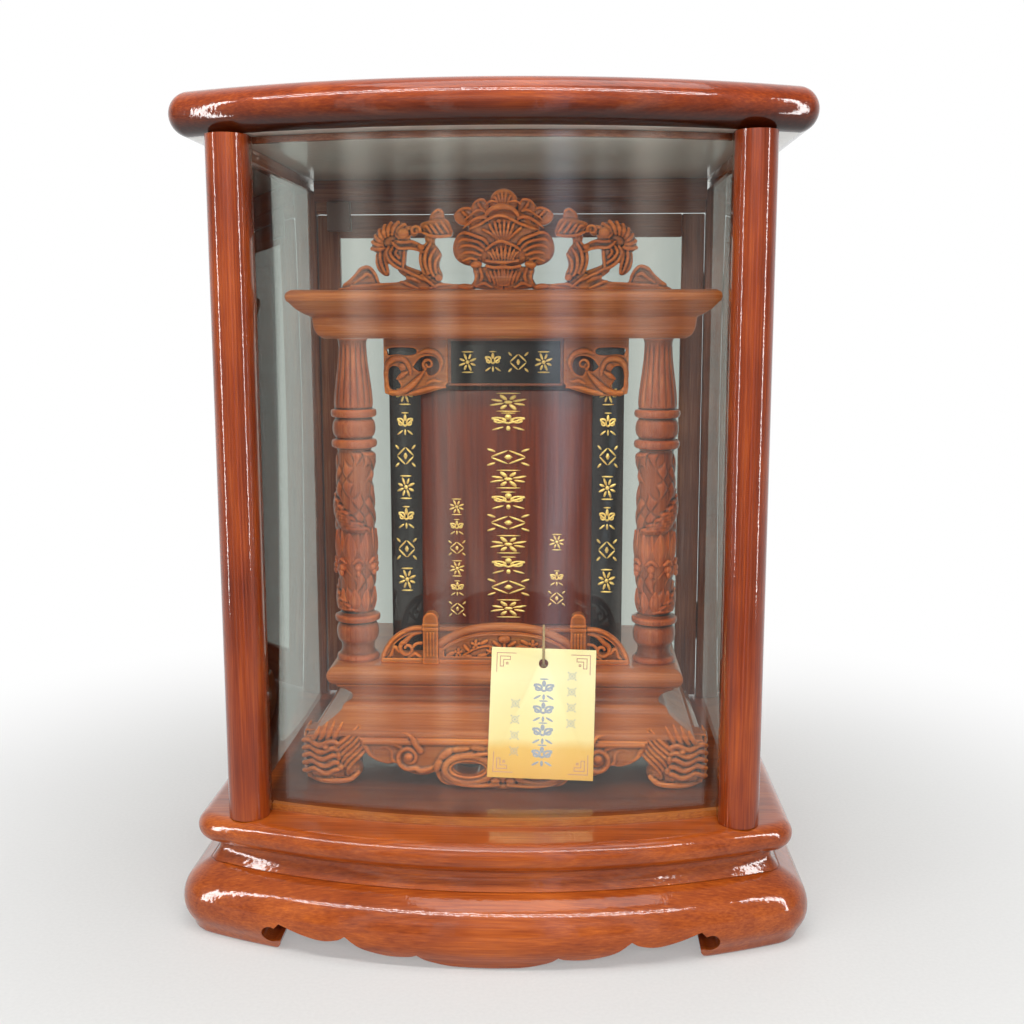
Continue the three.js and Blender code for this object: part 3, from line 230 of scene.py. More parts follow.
def plain_stuff(name, first, second, scale, roughness, metallic=0.0, bump=0.0, stretch=(1.0, 1.0, 1.0),
                low=0.35, high=0.65):
    """A stuff of two close tones in a noise of a given scale per metre, with a bump from the same noise."""
    material, tree = new_material(name)
    place = put(tree, "ShaderNodeTexCoord").outputs["Object"]
    drawn = put(tree, "ShaderNodeMapping", {"Vector": place, "Scale": stretch}).outputs[0]
    mottle = put(tree, "ShaderNodeTexNoise", {"Vector": drawn, "Scale": scale, "Detail": 4.0}).outputs[0]
    colour = put(tree, "ShaderNodeValToRGB", {0: mottle}, stops=[(low, first), (high, second)]).outputs[0]
    rub = put(tree, "ShaderNodeMapRange", {0: mottle, 1: 0.3, 2: 0.7, 3: roughness * 0.85,
                                           4: roughness * 1.2}).outputs[0]
    inputs = {"Base Color": colour, "Roughness": rub, "Metallic": metallic, "IOR": 1.5}
    if bump:
        inputs["Normal"] = put(tree, "ShaderNodeBump",
                               {"Height": mottle, "Strength": 0.6, "Distance": bump * MM}).outputs[0]
    finish_material(tree, put(tree, "ShaderNodeBsdfPrincipled", inputs).outputs[0])
    return material


WOOD = ("#6e2606", "#9c4510", "#c5641c")
# This palette is the red-brown lacquer made darker, as painted shade on the upright posts and the top board
SHADE_DARKENED_WOOD = ("#571904", "#853108", "#ad4e12")
SHRINE_WOOD = ("#843b18", "#b3602d", "#d4864a")
# This palette is the red-brown lacquer made darker, as painted shade on the rear frame, the door and pieces
# in the shade of the top board and the shrine; it was lifted a little as painted reflection
SHADED = ("#51200f", "#86492e", "#ac7453")
lacquer_x = lacquered_wood("red_brown_lacquer_boards", *WOOD, along=0)
lacquer_floor = lacquered_wood("red_brown_lacquer_ledge", *WOOD, along=0, floor_shade=0.42)
shrine_y = lacquered_wood("shrine_lacquer_sides", *SHRINE_WOOD, along=1)
lacquer_z = lacquered_wood("shade_darkened_lacquer_posts", *SHADE_DARKENED_WOOD, along=2)
# The top board's nose is darkened low down, as painted shade
lacquer_top = lacquered_wood("shade_darkened_lacquer_top", *SHADE_DARKENED_WOOD, along=0, shade_heights=(0.668, 0.690),
                             underside=(0.6663, "#d2d0c9"))
shrine_x = lacquered_wood("shrine_lacquer_boards", *SHRINE_WOOD, along=0)
shaded_x = lacquered_wood("shaded_lacquer_rails", *SHADED, along=0)
shaded_y = lacquered_wood("shaded_lacquer_side_rails", *SHADED, along=1)
shaded_z = lacquered_wood("shaded_lacquer_stiles", *SHADED, along=2)
carved_lacquer = lacquered_wood("red_brown_lacquer_carving", "#8a3a0e", "#b35d1d", "#d5853a", along=0,
                                carved=True, body_roughness=0.3, peel_strength=0.4)
# The columns take the carving's lacquer made darker, as painted shade
column_lacquer = lacquered_wood("shade_darkened_lacquer_columns", "#661f06", "#95431a", "#bb6a3a", along=2,
                                carved=True, body_roughness=0.3, peel_strength=0.4)
black_board = lacquered_board("black_lacquer", "#0c0a0a", "#241511", 0.16)
red_board = lacquered_board("red_brown_board_lacquer", "#5f1e07", "#83310d", 0.2)
# Reflections are kept a little weaker than glass gives, because the studio is paler than a room
front_glass = clear_glass("float_glass", "#f3f6f2", 1.5)
# The side and door panes are tinted grey where the real glass is clear: painted shade over all that is seen
# through them
shade_tinted_glass = clear_glass("shade_tinted_float_glass", "#b9bfba", 1.45)
# Gilding paint of brass powder in varnish: a warm, slightly grainy metal sheen
gold = plain_stuff("gilding_paint", "#e9bd5c", "#f8dc8a", 900.0, 0.42, metallic=0.55, bump=0.05)
# Planed softwood, unfinished: pale, dull, with brown year lines some 2 mm apart
pale_wood = plain_stuff("planed_softwood", "#c2a878", "#e3d3ab", 1.0, 0.62, stretch=(420.0, 420.0, 12.0))
# Raw hardwood bead: orange-brown and dull, with open grain
raw_bead = plain_stuff("raw_hardwood_bead", "#a5551c", "#c4742c", 1.0, 0.5, stretch=(30.0, 900.0, 900.0),
                       bump=0.05)
# Stamped and polished brass, faintly brushed
brass = plain_stuff("stamped_brass", "#b28a3a", "#d3ae5c", 500.0, 0.28, metallic=1.0)
# Zinc-plated steel
steel = plain_stuff("zinc_plated_steel", "#8f9090", "#b9bab8", 700.0, 0.34, metallic=1.0)
# Moulded brown plastic of the magnetic catch
catch_plastic = plain_stuff("moulded_brown_plastic", "#583426", "#664032", 1500.0, 0.45, bump=0.03)
# Jute fibre, spun and twisted: dull straw brown with darker hollows
jute = plain_stuff("jute_yarn", "#8a6a38", "#cfae72", 2200.0, 0.9, bump=0.2)
# Printing ink on card
ink_pink = plain_stuff("pink_printing_ink", "#c98a72", "#d59a80", 1500.0, 0.5)
ink_blue = plain_stuff("blue_grey_printing_ink", "#8d92a4", "#a9adbb", 1500.0, 0.5)


def printed_card(name):
    """Matt coated card printed deep yellow, with a faint paper fibre; towards the top it fades to cream, a
    painted reflection of the glass in front of it.
    """
    material, tree = new_material(name)
    place = put(tree, "ShaderNodeTexCoord").outputs["Object"]
    height = put(tree, "ShaderNodeSeparateXYZ", {0: place}).outputs[2]
    mottle = put(tree, "ShaderNodeTexNoise", {"Vector": place, "Scale": 26.0, "Detail": 3.0}).outputs[0]
    wavy = put(tree, "ShaderNodeMath", {0: mottle, 1: 0.012, 2: height}, operation="MULTIPLY_ADD").outputs[0]
    # The fade, from the yellow up to the cream of painted reflection, runs from 6 mm below the card's foot up
    # to its top edge
    share = put(tree, "ShaderNodeMapRange", {0: wavy, 1: 0.117, 2: 0.233, 3: 0.0, 4: 1.0}).outputs[0]
    stops = [(0.0, "#f0b145"), (0.27, "#f5c058"), (0.35, "#ffe69c"), (0.8, "#fff0b8"), (1.0, "#f9e7a4")]
    colour = put(tree, "ShaderNodeValToRGB", {0: share}, stops=stops).outputs[0]
    fibre = put(tree, "ShaderNodeTexNoise", {"Vector": place, "Scale": 1400.0}).outputs[0]
    tooth = put(tree, "ShaderNodeBump", {"Height": fibre, "Strength": 0.3, "Distance": 0.0001}).outputs[0]
    shader = put(tree, "ShaderNodeBsdfPrincipled",
                 {"Base Color": colour, "Roughness": 0.5, "IOR": 1.48, "Normal": tooth}).outputs[0]
    finish_material(tree, shader)
    return material


card_stock = printed_card("printed_card")

# Shapes: each is a list of points in millimetres and a list of faces

def arc(cx, cy, radius, start, end, steps):
    return [(cx + radius * math.cos(a), cy + radius * math.sin(a))
            for a in np.linspace(start, end, steps + 1)]


def spline(points, steps=6):
    """A smooth line through the points; what follows a point's place, such as its radius, is smoothed too."""
    p = np.array(points, float)
    p = np.vstack([2 * p[0] - p[1], p, 2 * p[-1] - p[-2]])
    line = []
    for k in range(1, len(p) - 2):
        a, b, c, d = p[k - 1:k + 3]
        for t in np.linspace(0, 1, steps, endpoint=False):
            line.append(0.5 * (2 * b + (c - a) * t + (2 * a - 5 * b + 4 * c - d) * t ** 2
                               + (3 * b - a - 3 * c + d) * t ** 3))
    return np.array(line + [p[-2]])


def loft(levels):
    """Closed body through rings of equal point count."""
    count = len(levels[0])
    points = [tuple(point) for level in levels for point in level]
    faces = []
    for level in range(len(levels) - 1):
        for i in range(count):
            low, after = level * count + i, level * count + (i + 1) % count
            faces.append((low, after, after + count, low + count))
    last = (len(levels) - 1) * count
    faces.append(tuple(range(count - 1, -1, -1)))
    faces.append(tuple(range(last, last + count)))
    return points, faces


def block(x0, x1, y0, y1, z0, z1):
    ring = [(x0, y0), (x1, y0), (x1, y1), (x0, y1)]
    return loft([[(x, y, z) for x, y in ring] for z in (z0, z1)])


def standing(outline, z0, z1):
    """A plan outline given height."""
    return loft([[(x, y, z) for x, y in outline] for z in (z0, z1)])


def turned(profile, centre, sides=40, axis=2):
    """Body of revolution: profile is (radius, place along the axis) from end to end."""
    levels = []
    for radius, height in profile:
        ring = []
        for a in np.linspace(0, TAU, sides, endpoint=False):
            at = [max(radius, 0.02) * math.cos(a), max(radius, 0.02) * math.sin(a)]
            at.insert(axis, height)
            ring.append(tuple(np.add(at, centre)))
        levels.append(ring)
    return loft(levels)


def limb(points, depth=1.0, steps=6, sides=10):
    """A tapering carved strand through (x, y, z, radius); depth is its thickness over its width."""
    line = spline(points, steps)
    centre, radius = line[:, :3], np.maximum(line[:, 3], 0.15)
    ahead = np.gradient(centre, axis=0)
    ahead /= np.linalg.norm(ahead, axis=1)[:, None]
    centre = np.vstack([centre[0] - ahead[0] * radius[0] * 0.6, centre,
                        centre[-1] + ahead[-1] * radius[-1] * 0.6])
    radius = np.concatenate([[radius[0] * 0.55], radius, [radius[-1] * 0.55]])
    ahead = np.vstack([ahead[0], ahead, ahead[-1]])
    side = np.cross(ahead, (0.0, 1.0, 0.0))
    side /= np.linalg.norm(side, axis=1)[:, None]
    front = np.cross(side, ahead)
    turn = np.linspace(0, TAU, sides, endpoint=False)[None, :, None]
    ring = np.cos(turn) * side[:, None] + depth * np.sin(turn) * front[:, None]
    return loft((centre[:, None] + radius[:, None, None] * ring).tolist())


def ball(centre, radii, turn=0.0, sides=16, rings=9):
    """A ball or bean: radii along X, Y and Z, then turned about Y by degrees."""
    cos, sin = math.cos(math.radians(turn)), math.sin(math.radians(turn))
    levels = []
    for height in np.linspace(-math.pi / 2 * 0.985, math.pi / 2 * 0.985, rings):
        ring = []
        for a in np.linspace(0, TAU, sides, endpoint=False):
            x = radii[0] * math.cos(height) * math.cos(a)
            y = radii[1] * math.cos(height) * math.sin(a)
            z = radii[2] * math.sin(height)
            ring.append((centre[0] + cos * x + sin * z, centre[1] + y, centre[2] - sin * x + cos * z))
        levels.append(ring)
    return loft(levels)


def pad(outline, back, front, place=(0, 0, 0), steps=6):
    """A carved cushion over a closed outline drawn in X and Z: flat behind, domed in front."""
    line = spline(list(outline) + [outline[0]], 4)[:-1]
    middle = line.mean(axis=0)
    levels = [[(x + place[0], back + place[1], z + place[2]) for x, z in line]]
    for a in np.linspace(0, 0.46 * math.pi, steps):
        y = back + (front - back) * (0.5 + 0.5 * math.sin(a)) + place[1]
        levels.append([(x + place[0], y, z + place[2])
                       for x, z in middle + (line - middle) * math.cos(a) ** 0.34])
    return loft(levels)


def curl(x, z, y, outer, inner, start, turns, thick, thin, lead=()):
    """Points of a scroll that winds inwards, for limb(); lead holds points that come before it."""
    points = list(lead)
    count = max(5, int(abs(turns) * 9))
    for k in range(count + 1):
        share = k / count
        angle = math.radians(start) + turns * TAU * share
        reach = outer + (inner - outer) * share
        points.append((x + reach * math.cos(angle), y, z + reach * math.sin(angle),
                       thick + (thin - thick) * share))
    return points


def plate(loops, y0, y1, bevel=0.8):
    """A plate with holes: loops drawn in X and Z, given thickness along Y, its edges rounded."""
    curve = bpy.data.curves.new("plate", "CURVE")
    curve.dimensions, curve.fill_mode = "2D", "BOTH"
    curve.extrude = (y1 - y0) / 2 - bevel
    curve.bevel_depth, curve.bevel_resolution, curve.offset = bevel, 2, -bevel
    for loop in loops:
        line = curve.splines.new("POLY")
        line.points.add(len(loop) - 1)
        for point, (x, z) in zip(line.points, loop):
            point.co = (x, z, 0, 1)
        line.use_cyclic_u = True
    drawn = bpy.data.objects.new("plate", curve)
    bpy.context.scene.collection.objects.link(drawn)
    mesh = plain_mesh(drawn)
    middle = (y0 + y1) / 2
    points = [(v.co.x, middle - v.co.z, v.co.y) for v in mesh.vertices]
    faces = [tuple(face.vertices) for face in mesh.polygons]
    bpy.data.objects.remove(drawn)
    bpy.data.meshes.remove(mesh)
    return points, faces


def swapped(shape, shift=(0, 0, 0)):
    """The shape with X and Y changed over, so that a plate runs along X."""
    points, faces = shape
    return [(y + shift[0], x + shift[1], z + shift[2]) for x, y, z in points], [tuple(reversed(face))
                                                                                for face in faces]


def mirrored(shape):
    points, faces = shape
    return [(-x, y, z) for x, y, z in points], [tuple(reversed(face)) for face in faces]


def both(shapes):
    """The shapes and their mirror images."""
    return list(shapes) + [mirrored(shape) for shape in shapes]


# Pieces

# What the carved pieces of the shrine share
CARVED = {"shift": SHRINE, "soften": 1, "sharp": 60}


def plain_mesh(thing):
    """The evaluated object as a plain mesh."""
    bpy.context.view_layer.update()
    return bpy.data.meshes.new_from_object(thing.evaluated_get(bpy.context.evaluated_depsgraph_get()))


def raw_object(name, shapes, weld=0.02):
    """Joins shapes into one object, in metres."""
    points, faces = [], []
    for more_points, more_faces in shapes:
        start = len(points)
        points.extend(more_points)
        faces.extend(tuple(start + i for i in face) for face in more_faces)
    mesh = bpy.data.meshes.new(name)
    mesh.from_pydata((np.array(points) * MM).tolist(), [], faces)
    form = bmesh.new()
    form.from_mesh(mesh)
    bmesh.ops.remove_doubles(form, verts=form.verts, dist=weld * MM)
    bmesh.ops.recalc_face_normals(form, faces=form.faces)
    form.to_mesh(mesh)
    form.free()
    thing = bpy.data.objects.new(name, mesh)
    bpy.context.scene.collection.objects.link(thing)
    return thing


def drop(thing):
    mesh = thing.data
    bpy.data.objects.remove(thing)
    bpy.data.meshes.remove(mesh)


def piece(name, shapes, finish, stands_for=(), slot=None, body="case", shift=(0, 0, 0), voxel=0.0, soften=2,
          sharp=34, round_edges=0.0, cutters=(), flip=False, weld=0.02):
    """Makes one finished piece: cut, carved as one skin by voxels, edges rounded, mirrored and placed."""
    thing = raw_object(name, shapes, weld)
    waste = []
    if cutters:
        for index, cutter in enumerate(cutters):
            knife = raw_object(f"{name}_knife_{index}", [cutter])
            waste.append(knife)
            cut = thing.modifiers.new("cut", "BOOLEAN")
            cut.object, cut.operation, cut.solver = knife, "DIFFERENCE", "EXACT"
    if voxel:
        skin = thing.modifiers.new("skin", "REMESH")
        skin.mode, skin.voxel_size = "VOXEL", voxel * MM
        if soften:
            smooth = thing.modifiers.new("smooth", "SMOOTH")
            smooth.factor, smooth.iterations = 0.5, soften
    if round_edges:
        bevel = thing.modifiers.new("edges", "BEVEL")
        bevel.width, bevel.segments, bevel.limit_method = round_edges * MM, 3, "ANGLE"
        bevel.angle_limit = math.radians(38)
    mesh = plain_mesh(thing)
    drop(thing)
    for knife in waste:
        drop(knife)
    if flip:
        mesh.transform(Matrix.Scale(-1, 4, (1, 0, 0)))
        mesh.flip_normals()
    mesh.transform(Matrix.Translation(Vector(shift) * MM))
    return settle(name, mesh, finish, stands_for, slot, body, sharp)


def settle(name, mesh, finish, stands_for=(), slot=None, body="case", sharp=34):
    """Makes an object of a finished mesh and ties it to the frame."""
    mesh.name = name
    mesh.materials.clear()
    mesh.materials.append(finish)
    mesh.polygons.foreach_set("use_smooth", [True] * len(mesh.polygons))
    mesh.set_sharp_from_angle(angle=math.radians(sharp))
    thing = bpy.data.objects.new(name, mesh)
    bpy.context.scene.collection.objects.link(thing)
    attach(thing, body)
    if stands_for:
        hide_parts(*stands_for)
    return thing


def single(node, shapes, finish, slot, body="case", **more):
    """A piece that stands for the node of its own name."""
    return piece(f"{node}_finish", shapes, finish, (node,), slot, body, **more)


def pair(stem, shapes, finish, slot=None, **more):
    """A right-hand piece and its mirror image. Both stand for the nodes of the same name."""
    shift = more.pop("shift", (0, 0, 0))
    for side, flip in (("right", False), ("left", True)):
        name = f"{stem}_{side}"
        nodes = (name,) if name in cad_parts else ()
        piece(f"{name}_finish", shapes, finish, nodes, slot, shift=shift, flip=flip, **more)


# Repeating pieces by geometry nodes

def node_tree(name, sizes):
    """A geometry tree with named inputs; returns the tree, its input node and the inputs' identifiers."""
    tree = bpy.data.node_groups.new(name, "GeometryNodeTree")
    tree.interface.new_socket("Geometry", in_out="INPUT", socket_type="NodeSocketGeometry")
    tree.interface.new_socket("Geometry", in_out="OUTPUT", socket_type="NodeSocketGeometry")
    keys = {}
    for label, kind in sizes.items():
        keys[label] = tree.interface.new_socket(label, in_out="INPUT",
                                                socket_type=f"NodeSocket{kind}").identifier
    return tree, put(tree, "NodeGroupInput").outputs, keys


def close_tree(tree, geometry, finish):
    real = put(tree, "GeometryNodeRealizeInstances", {0: geometry}).outputs[0]
    dressed = put(tree, "GeometryNodeSetMaterial", {"Geometry": real, "Material": finish}).outputs[0]
    put(tree, "NodeGroupOutput", {0: dressed})


def grown(thing, made, values):
    """Runs a geometry tree on an object and returns the plain mesh; the object goes."""
    tree, _, keys = made
    grower = thing.modifiers.new("grow", "NODES")
    grower.node_group = tree
    for label, value in values.items():
        grower[keys[label]] = value
    mesh = plain_mesh(thing)
    drop(thing)
    return mesh


def string_tree():
    """Three strands twisted round a line."""
    made = node_tree("twisted_string", {"Strand Radius": "Float", "Lay Radius": "Float", "Pitch": "Float",
                                        "Fineness": "Int", "Finish": "Material"})
    tree, given, _ = made
    line = put(tree, "GeometryNodeMeshToCurve", {0: given["Geometry"]}).outputs[0]
    line = put(tree, "GeometryNodeResampleCurve", {"Curve": line, "Count": given["Fineness"]}).outputs[0]
    ahead = put(tree, "GeometryNodeInputTangent").outputs[0]
    across = put(tree, "GeometryNodeInputNormal").outputs[0]
    up = put(tree, "ShaderNodeVectorMath", {0: ahead, 1: across}, operation="CROSS_PRODUCT").outputs[0]
    way = put(tree, "GeometryNodeSplineParameter").outputs["Length"]
    rounds = put(tree, "ShaderNodeMath", {0: way, 1: given["Pitch"]}, operation="DIVIDE").outputs[0]
    section = put(tree, "GeometryNodeCurvePrimitiveCircle",
                  {"Resolution": 8, "Radius": given["Strand Radius"]}).outputs[0]
    join = put(tree, "GeometryNodeJoinGeometry")
    for strand in range(3):
        angle = put(tree, "ShaderNodeMath", {0: rounds, 1: TAU, 2: strand * TAU / 3},
                    operation="MULTIPLY_ADD").outputs[0]
        reach = []
        for turn, axis in (("COSINE", across), ("SINE", up)):
            part = put(tree, "ShaderNodeMath", {0: angle}, operation=turn).outputs[0]
            part = put(tree, "ShaderNodeMath", {0: part, 1: given["Lay Radius"]},
                       operation="MULTIPLY").outputs[0]
            reach.append(put(tree, "ShaderNodeVectorMath", {0: axis, "Scale": part},
                             operation="SCALE").outputs[0])
        offset = put(tree, "ShaderNodeVectorMath", {0: reach[0], 1: reach[1]}, operation="ADD").outputs[0]
        moved = put(tree, "GeometryNodeSetPosition", {"Geometry": line, "Offset": offset}).outputs[0]
        swept = put(tree, "GeometryNodeCurveToMesh",
                    {"Curve": moved, "Profile Curve": section, "Fill Caps": True}).outputs[0]
        tree.links.new(swept, join.inputs[0])
    close_tree(tree, join.outputs[0], given["Finish"])
    return made


def copies_tree():
    """A copy of a pattern object at every point."""
    made = node_tree("copies_at_points", {"Pattern": "Object", "Size": "Float", "Finish": "Material"})
    tree, given, _ = made
    pattern = put(tree, "GeometryNodeObjectInfo", {"Object": given["Pattern"]}).outputs["Geometry"]
    size = put(tree, "ShaderNodeCombineXYZ",
               {0: given["Size"], 1: given["Size"], 2: given["Size"]}).outputs[0]
    copies = put(tree, "GeometryNodeInstanceOnPoints",
                 {"Points": given["Geometry"], "Instance": pattern, "Scale": size}).outputs[0]
    close_tree(tree, copies, given["Finish"])
    return made


def ring_tree():
    """Copies of the object turned round the Z axis."""
    made = node_tree("ring_of_copies", {"Count": "Int", "First Angle": "Float", "Finish": "Material"})
    tree, given, _ = made
    dots = put(tree, "GeometryNodeMeshCircle", {"Vertices": given["Count"], "Radius": 0.0}).outputs[0]
    index = put(tree, "GeometryNodeInputIndex").outputs[0]
    step = put(tree, "ShaderNodeMath", {0: TAU, 1: given["Count"]}, operation="DIVIDE").outputs[0]
    angle = put(tree, "ShaderNodeMath", {0: index, 1: step, 2: given["First Angle"]},
                operation="MULTIPLY_ADD").outputs[0]
    turn = put(tree, "ShaderNodeCombineXYZ", {2: angle}).outputs[0]
    copies = put(tree, "GeometryNodeInstanceOnPoints",
                 {"Points": dots, "Instance": given["Geometry"], "Rotation": turn}).outputs[0]
    close_tree(tree, copies, given["Finish"])
    return made


twisted_string, copies_at_points, ring_of_copies = string_tree(), copies_tree(), ring_tree()


def scattered(name, pattern, places, finish, size=1.0, **more):
    """Copies of pattern shapes at places in millimetres, as one piece."""
    master = raw_object(f"{name}_pattern", pattern)
    dots = bpy.data.objects.new(f"{name}_dots", bpy.data.meshes.new(f"{name}_dots"))
    dots.data.from_pydata((np.array(places, float) * MM).tolist(), [], [])
    bpy.context.scene.collection.objects.link(dots)
    mesh = grown(dots, copies_at_points, {"Pattern": master, "Size": size, "Finish": finish})
    drop(master)
    return settle(name, mesh, finish, **more)


# String of the label, twisted jute: over the railing's cap from behind, down the card, back through its hole

CARD_TILT, CARD_ROLL = math.radians(17.5), math.radians(1.4)
CARD_FOOT = (42.0, -74.3, 200.9)     # where the card leans on the stand's nose
CARD_RISE = 27.5                     # from there up to its top edge
CARD_HALF, CARD_LONG = 47, 115.5
HOLE_DROP, HOLE_RADIUS = 13.5, 4.2


def card_point(up, ahead):
    """A point by its way up the card from where it leans and its distance in front of the card's face."""
    sin, cos = math.sin(CARD_TILT), math.cos(CARD_TILT)
    return (CARD_FOOT[0], CARD_FOOT[1] + up * sin - (1 + ahead) * cos,
            CARD_FOOT[2] + up * cos + (1 + ahead) * sin)


def string_route():
    route = [(42.0, y, z) for y, z in arc(-55.0, 239.63, 5.7, 0, math.radians(149), 8)]
    through = 18.035
    route += [card_point(CARD_RISE, 1.7), card_point((CARD_RISE + through) / 2, 1.7)]
    route += [card_point(s, n) for s, n in arc(through, -3.1, 4.8, math.pi / 2, math.pi, 6)]
    route.append(card_point(through - 4.8, -4.3))
    return spline(route, 5)


def make_string():
    route = string_route() * MM
    line = bpy.data.objects.new("string_line", bpy.data.meshes.new("string_line"))
    line.data.from_pydata(route.tolist(), [(i, i + 1) for i in range(len(route) - 1)], [])
    bpy.context.scene.collection.objects.link(line)
    strands = grown(line, twisted_string, {
        "Strand Radius": 0.64 * MM, "Lay Radius": 0.6 * MM, "Pitch": 8.5 * MM, "Fineness": 120,
        "Finish": jute,
    })
    string = settle("label_string_strands", strands, jute, ("label_string",), "label_string", "label",
                    sharp=60)
    rear, low = route[0] / MM, route[-1] / MM
    # A small overhand knot at each end: behind the cap, and behind the card below its hole
    for where, way, (x, y, z) in (("upper", -1, rear), ("lower", -1, low)):
        wraps = [ball((x, y, z + way * 1.2), (2.3, 2.1, 1.7))]
        for tilt in (-0.5, 0.5):
            wrap = [(x + 1.6 * math.cos(a), y + 1.6 * math.sin(a), z + way * 1.2 + tilt * math.sin(a * 2),
                     0.65)
                    for a in np.linspace(0, TAU, 12)]
            wraps.append(limb(wrap, steps=2, sides=8))
        piece(f"label_string_knot_{where}", wraps, jute, slot="label_string", body="label",
                           voxel=0.35, soften=1, sharp=60)


make_string()

# Case

def bow_outline(plan, grow=0.0, steps=64, corner_steps=12):
    """Plan of a case board: bowed front, round front corners, straight sides, and a rear that stays put."""
    half, front, rear, radius, corner = plan
    middle, reach, x = front + radius, radius - corner, half - corner
    y = middle - math.sqrt(reach ** 2 - x ** 2)
    lean, down = math.asin(x / reach), -math.pi / 2
    line = arc(0, middle, radius + grow, down - lean, down + lean, steps)
    line += arc(x, y, corner + grow, down + lean, 0, corner_steps)[1:]
    line += [(half + grow, rear), (-half - grow, rear)]
    return line + arc(-x, y, corner + grow, -math.pi, down - lean, corner_steps)[:-1]


def moulded(outline_of, shares, bottom, height, reach, steps=4):
    """Body whose outline grows and shrinks with its height, by shares of height and reach."""
    levels = []
    for height_share, growth_share in spline(shares, steps):
        z = bottom + min(max(height_share, 0.0), 1.0) * height
        levels.append([(x, y, z) for x, y in outline_of(growth_share * reach)])
    return loft(levels)


def nosed(outline_of, bottom, thickness, steps=18):
    """Board with a half-round nose."""
    radius = thickness / 2
    levels = []
    for a in np.linspace(-math.pi / 2, math.pi / 2, steps + 1):
        z = bottom + radius + radius * math.sin(a)
        levels.append([(x, y, z) for x, y in outline_of(radius * math.cos(a) - radius)])
    return loft(levels)


# Plans of the boards: half width, front, rear, radius of the bow, radius of the corners
LEDGE = (255.5, -218.0, 233.0, 590.0, 26.0)
TOP = (259.0, -208.0, 228.0, 590.0, 18.0)
INNER = (231.5, -194.0, 209.0, 566.0, 13.0)
OPENING = (214.5, -177.0, 192.0, 549.0, 13.0)
APRON_TOP = 59.4
BASE_BOARD_FOOT, BASE_BOARD_THICKNESS = 78, 24
TOP_BOARD_FOOT, TOP_BOARD_THICKNESS = 666, 36
# Profiles from the foot up: share of the height, share of the reach outwards
SKIRT = [(0, 0.2), (0.04, 0.38), (0.13, 0.55), (0.3, 0.92), (0.48, 1), (0.66, 0.82), (0.8, 0.45),
         (0.91, -0.1), (1, -0.62)]
MOULDING = [(0, -0.62), (0.2, -0.78), (0.5, -1), (0.8, -1), (1, -0.9)]
# Waves under the aprons, from the middle outwards: share of the half width, share of the rise
SCALLOPS = [
    [(0, 0), (0.16, 0.06), (0.28, 0.24), (0.33, 0.45)],
    [(0.33, 0.45), (0.37, 0.36), (0.47, 0.34), (0.59, 0.54), (0.67, 0.9)],
    [(0.67, 0.9), (0.71, 0.75), (0.79, 0.66), (0.89, 0.78), (1, 1)],
]


def scallop_loop(half):
    """The opening under an apron: three waves out to a scroll foot with a round eye and a toe."""
    right = []
    for wave in SCALLOPS:
        run = [(share * half, 1 + rise * 27) for share, rise in spline(wave, 5)]
        right += run if not right else run[1:]
    right += arc(half + 8, 16, 8, math.pi * 0.65, -math.pi * 0.72, 18)
    right += [(half, 10), (half + 0.6, 6), (half + 3, 2.4), (half + 8, 0), (half + 8, -6)]
    return right + [(-x, z) for x, z in reversed(right[1:])]


def make_case_base():
    single("base_board", [nosed(lambda g: bow_outline(LEDGE, g), BASE_BOARD_FOOT, BASE_BOARD_THICKNESS)],
           lacquer_floor, "lacquer_red_brown")
    opening = standing(bow_outline(OPENING), 50, 90)
    piece("base_moulding_finish", [moulded(lambda g: bow_outline(LEDGE, g), MOULDING, 59.7, 18, 17)],
          lacquer_x,
          ("base_moulding",), "lacquer_red_brown", cutters=(opening,))
    skirt = moulded(lambda g: bow_outline(LEDGE, g), SKIRT, 0, APRON_TOP, 14.9, steps=3)
    hollow = standing(bow_outline(INNER), -6, APRON_TOP + 6)
    ahead = plate([scallop_loop(174.0)], -260, 260, 0.0)
    across = swapped(plate([scallop_loop(147.5)], -290, 290, 0.0), (0, 7.5, 0))
    piece("base_apron_finish", [skirt], lacquer_x, ("apron_front", "apron_left", "apron_right", "apron_rear"),
          "lacquer_red_brown", cutters=(hollow, ahead, across))


def make_case_top():
    single("top_board", [nosed(lambda g: bow_outline(TOP, g), TOP_BOARD_FOOT, TOP_BOARD_THICKNESS, 24)],
           lacquer_top, "lacquer_red_brown")


def bow_band(front_radius, back_radius, half, steps=72):
    """Plan of what follows the bow of the front glass, between two radii."""
    x = np.linspace(-half, half, steps + 1)
    front = [(a, BOW_MIDDLE - math.sqrt(front_radius ** 2 - a ** 2)) for a in x]
    back = [(a, BOW_MIDDLE - math.sqrt(back_radius ** 2 - a ** 2)) for a in x[::-1]]
    return front + back


def post_outline():
    """Round to the front and outside, square at the inner rear corner."""
    return arc(208, -156, 17, -math.pi, math.pi / 2, 108) + [(192.2, -139), (191, -140.2)]


